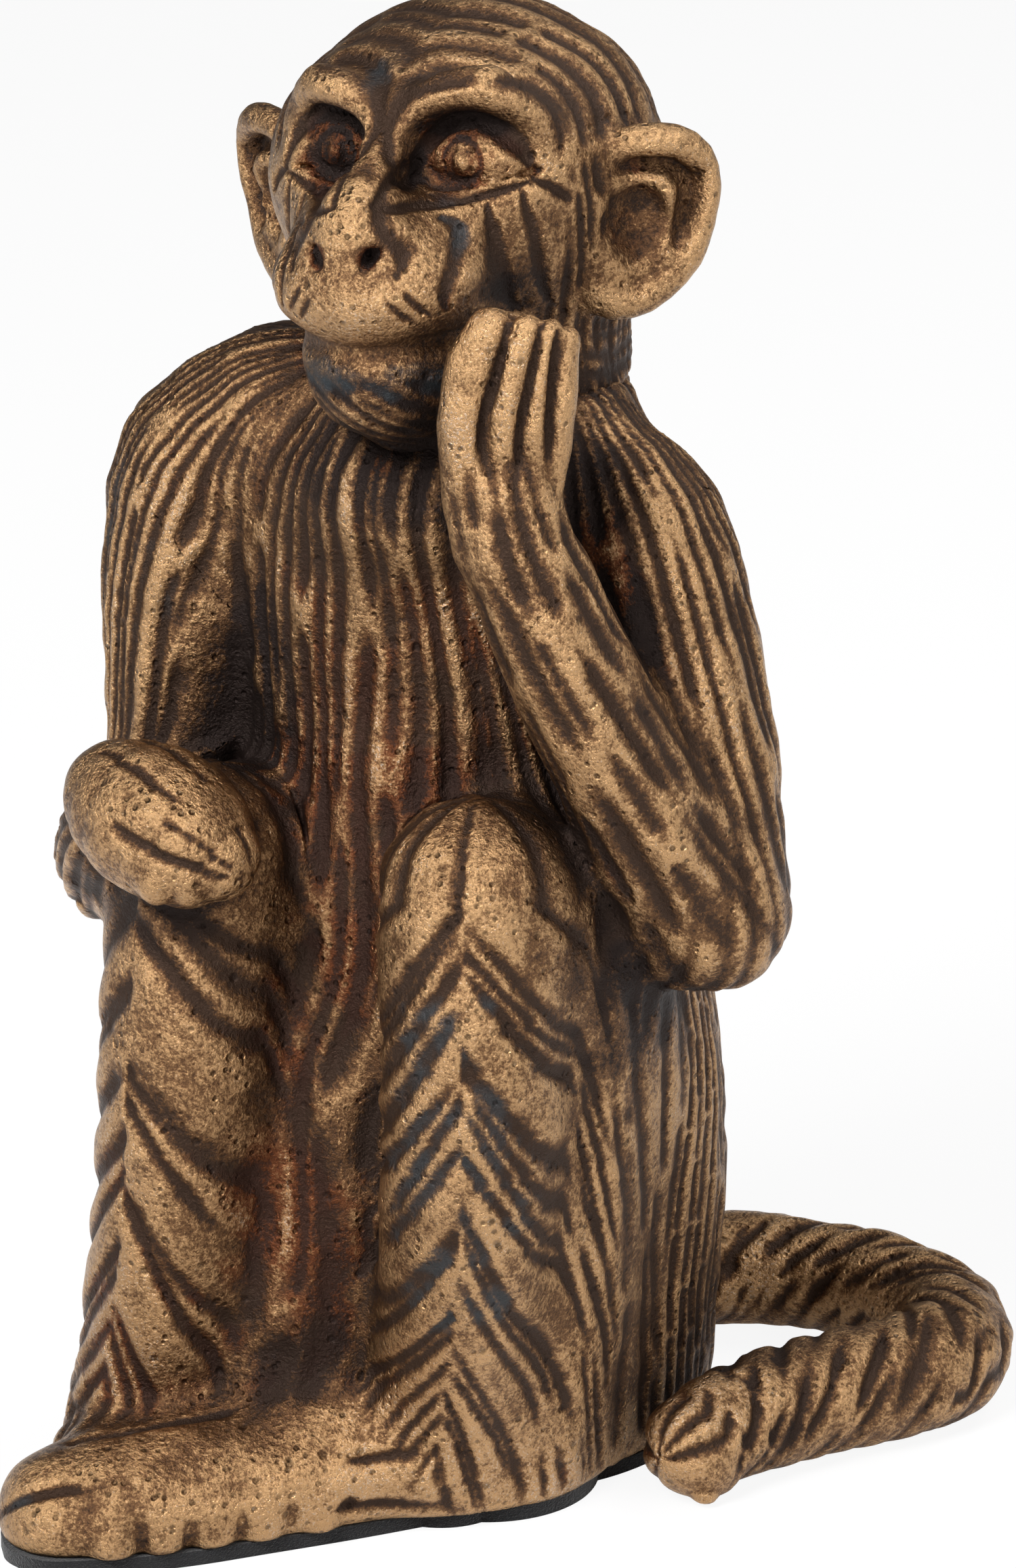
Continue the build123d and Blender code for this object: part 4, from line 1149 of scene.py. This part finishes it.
def pale_floor():
    """A pale floor that nearly disappears to the camera and keeps the ornament's shadow."""
    f = Finish(bpy.data.materials.new("pale floor"))
    matt = f.node("ShaderNodeBsdfPrincipled", None, {"Base Color": (0.86, 0.86, 0.86, 1), "Roughness": 0.9})
    glow = f.node("ShaderNodeEmission", None, {"Color": (1, 1, 1, 1), "Strength": 1.0})
    seen = f.node("ShaderNodeLightPath", out="Is Camera Ray")
    glossy = f.node("ShaderNodeLightPath", out="Is Glossy Ray")
    shader = f.node("ShaderNodeMixShader", None, {0: (seen * 0.9 + glossy * 0.2).clamp(), 1: matt, 2: glow})
    return f.surface(shader)


def studio_sky():
    """White where the camera sees it, and a weak even light for everything else."""
    f = Finish(bpy.data.worlds.new("studio"))
    seen = f.node("ShaderNodeLightPath", out="Is Camera Ray")
    through = f.node("ShaderNodeLightPath", out="Is Transmission Ray")
    soft, white = (f.node("ShaderNodeBackground", None, {0: (1, 1, 1, 1), 1: strength})
                   for strength in (SKY_LIGHT, 1.0))
    shader = f.node("ShaderNodeMixShader", None, {0: (seen + through).clamp(), 1: soft, 2: white})
    return f.surface(shader, "ShaderNodeOutputWorld")


# Sizes, colours and makers
class MonkeySizes(bpy.types.PropertyGroup):
    """The sizes that a user may change"""

    height: bpy.props.FloatProperty(name="Height", description="Overall height with the felt", default=0.24,
                                    min=0.2, max=0.28, unit="LENGTH")
    stroke_depth: bpy.props.FloatProperty(name="Stroke depth", description="Depth of the chisel strokes",
                                          default=0.0015, min=0.0, max=0.003, unit="LENGTH")
    skin_grain: bpy.props.FloatProperty(name="Skin grain", description="Size of the squares of the body's skin",
                                        default=0.00078, min=0.0005, max=0.003, unit="LENGTH")
    head_grain: bpy.props.FloatProperty(name="Head grain", description="Size of the squares of the head's skin",
                                        default=0.00056, min=0.0004, max=0.003, unit="LENGTH")


def colour_setting(name, description, default):
    """A colour that a user may change."""
    return bpy.props.FloatVectorProperty(name=name, description=description, subtype="COLOR", size=3,
                                         default=default, min=0.0, max=1.0)


class MonkeyColours(bpy.types.PropertyGroup):
    """The colours of the patina and the felt"""

    gold: colour_setting("Gold", "Rubbed high places", (0.47, 0.282, 0.136))
    bronze: colour_setting("Bronze", "Between high and low places", (0.140, 0.072, 0.035))
    # Also the colour of the painted shade in closed hollows and in the shade patches
    dark: colour_setting("Dark patina", "In the cuts", (0.015, 0.008, 0.006))
    rust: colour_setting("Rust", "In the deep hollows", (0.135, 0.038, 0.015))
    verdigris: colour_setting("Verdigris", "In some grooves", (0.040, 0.056, 0.066))
    silver: colour_setting("Silver", "Few bare specks", (0.60, 0.58, 0.55))
    felt: colour_setting("Felt", "The pad below", (0.008, 0.008, 0.009))


class MONKEY_OT_head(bpy.types.Operator):
    """Builds the head with its face, ears and hair"""

    bl_idname = "monkey.head"
    bl_label = "Head casting"

    def execute(self, context):
        sizes = context.scene.monkey_sizes
        shape = shape_up(HEAD, sizes.head_grain / MM * coarser(),
                         lambda p: (hair(p), np.zeros(len(p))), sizes.stroke_depth / MM * 0.8)
        casting("head", shape, node="head_casting")
        return {"FINISHED"}


class MONKEY_OT_castings(bpy.types.Operator):
    """Builds the body and its limbs as one skin and parts it into the castings"""

    bl_idname = "monkey.castings"
    bl_label = "Body and arm castings"

    def execute(self, context):
        sizes = context.scene.monkey_sizes
        shape = shape_up(LIMBS, sizes.skin_grain / MM * coarser(), fur, sizes.stroke_depth / MM)
        middle = shape["points"][shape["squares"]].mean(1)
        names = ("body", "left_arm", "right_arm")
        owner = np.argmin([field(middle, FORMS[name], 30.0) for name in names], axis=0)
        for number, side in ((1, LEFT_ARM), (2, RIGHT_ARM)):
            top, low = np.array(side[0][:3]), np.array(side[1][:3])
            run = unit(low - top)
            joint = top + run * (top[2] - SHOULDER_JOINT) / -run[2]
            owner[(owner == number) & ((middle - joint) @ run < 0)] = 0
        arms = field(middle, FORMS["left_arm"][:1] + FORMS["right_arm"][:1], 30.0)
        back = (owner == 0) & (seam_back(middle) > 0) & (arms > 4.0)
        casting("body_front", shape, (owner == 0) & ~back, "body_front_shell")
        casting("body_back", shape, back, "body_back_shell")
        casting("left_arm", shape, owner == 1, "left_arm_casting")
        casting("right_arm", shape, owner == 2, "right_arm_casting")
        return {"FINISHED"}


class MONKEY_OT_tail(bpy.types.Operator):
    """Builds the tail that lies on the floor round the left side"""

    bl_idname = "monkey.tail"
    bl_label = "Tail casting"

    def execute(self, context):
        sizes = context.scene.monkey_sizes
        grain = sizes.skin_grain / MM * 0.8 * coarser()
        shape = shape_up(FORMS["tail"], grain, tail_fur, sizes.stroke_depth / MM)
        casting("tail", shape, node="tail_casting")
        return {"FINISHED"}


class MONKEY_OT_felt(bpy.types.Operator):
    """Finishes the felt pad of the frame"""

    bl_idname = "monkey.felt"
    bl_label = "Felt pad"

    def execute(self, context):
        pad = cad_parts["base_felt"]
        pad.data.materials.clear()
        pad.data.materials.append(felt())
        return {"FINISHED"}


class MONKEY_OT_finish(bpy.types.Operator):
    """Gives every casting its patina"""

    bl_idname = "monkey.finish"
    bl_label = "Patina"

    def execute(self, context):
        material = patinated_metal()
        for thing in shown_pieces():
            if thing.get("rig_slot") == "patinated_metal":
                thing.data.materials.append(material)
        return {"FINISHED"}


class MONKEY_OT_stage(bpy.types.Operator):
    """Sets the floor, the lights, the background and the camera"""

    bl_idname = "monkey.stage"
    bl_label = "Stage"

    def execute(self, context):
        scene = context.scene
        corners = [(x * FLOOR_REACH, y * FLOOR_REACH, 0) for x, y in ((-1, -1), (1, -1), (1, 1), (-1, 1))]
        floor = new_mesh("floor", corners, [(0, 1, 2, 3)])
        floor.materials.append(pale_floor())
        floor = bpy.data.objects.new("floor", floor)
        scene.collection.objects.link(floor)
        floor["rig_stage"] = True
        scene.world = studio_sky()
        for name, round_front, height, size, power in LAMPS:
            light = bpy.data.lights.new(name, "AREA")
            light.energy, light.size = power, size
            lamp = bpy.data.objects.new(name, light)
            aim(lamp, LAMP_TARGET, round_front, height, LAMP_DISTANCE)
            scene.collection.objects.link(lamp)
        camera = bpy.data.objects.new("camera", bpy.data.cameras.new("camera"))
        camera.data.lens, camera.data.sensor_width = LENS_MM, SENSOR_MM
        aim(camera, CAMERA_TARGET, CAMERA_ROUND, CAMERA_UP, CAMERA_DISTANCE)
        camera.data.clip_start, camera.data.clip_end = 0.05, 30.0
        scene.collection.objects.link(camera)
        scene.camera = camera
        scene.view_settings.view_transform = "Standard"
        return {"FINISHED"}


def aim(thing, target, round_front, height, distance):
    """Puts a lamp or camera at a distance from a target, looking at it, so many degrees
    round from the front towards the left side and so many up."""
    a, e = np.radians(round_front), np.radians(height)
    z = unit([np.sin(a) * np.cos(e), -np.cos(a) * np.cos(e), np.sin(e)])
    x = unit(np.cross((0, 0, 1), z))
    y = np.cross(z, x)
    spot = np.array(target) + z * distance
    thing.matrix_world = Matrix([(x[k], y[k], z[k], spot[k]) for k in range(3)] + [(0, 0, 0, 1)])


def coarser():
    return 1.0


class MONKEY_PT_panel(bpy.types.Panel):
    """Lists the makers, the sizes and the colours"""

    bl_idname = "MONKEY_PT_panel"
    bl_label = "Sitting monkey"
    bl_space_type = "VIEW_3D"
    bl_region_type = "UI"
    bl_category = "Ornament"

    def draw(self, context):
        for maker in MAKERS:
            self.layout.operator(maker.bl_idname)
        for group in (context.scene.monkey_sizes, context.scene.monkey_colours):
            for key in group.__annotations__:
                self.layout.prop(group, key)


MAKERS = (MONKEY_OT_stage, MONKEY_OT_head, MONKEY_OT_castings, MONKEY_OT_tail, MONKEY_OT_felt, MONKEY_OT_finish)
CLASSES = (MonkeySizes, MonkeyColours, *MAKERS, MONKEY_PT_panel)


def register():
    """Adds the classes and the settings to Blender."""
    for entry in CLASSES:
        bpy.utils.register_class(entry)
    bpy.types.Scene.monkey_sizes = bpy.props.PointerProperty(type=MonkeySizes)
    bpy.types.Scene.monkey_colours = bpy.props.PointerProperty(type=MonkeyColours)


def unregister():
    """Takes the classes and the settings out of Blender again."""
    del bpy.types.Scene.monkey_sizes
    del bpy.types.Scene.monkey_colours
    for entry in reversed(CLASSES):
        bpy.utils.unregister_class(entry)


def main():
    """Registers the add-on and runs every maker."""
    register()
    for group, maker in (m.bl_idname.split(".") for m in MAKERS):
        getattr(getattr(bpy.ops, group), maker)()


if __name__ == "__main__":
    main()
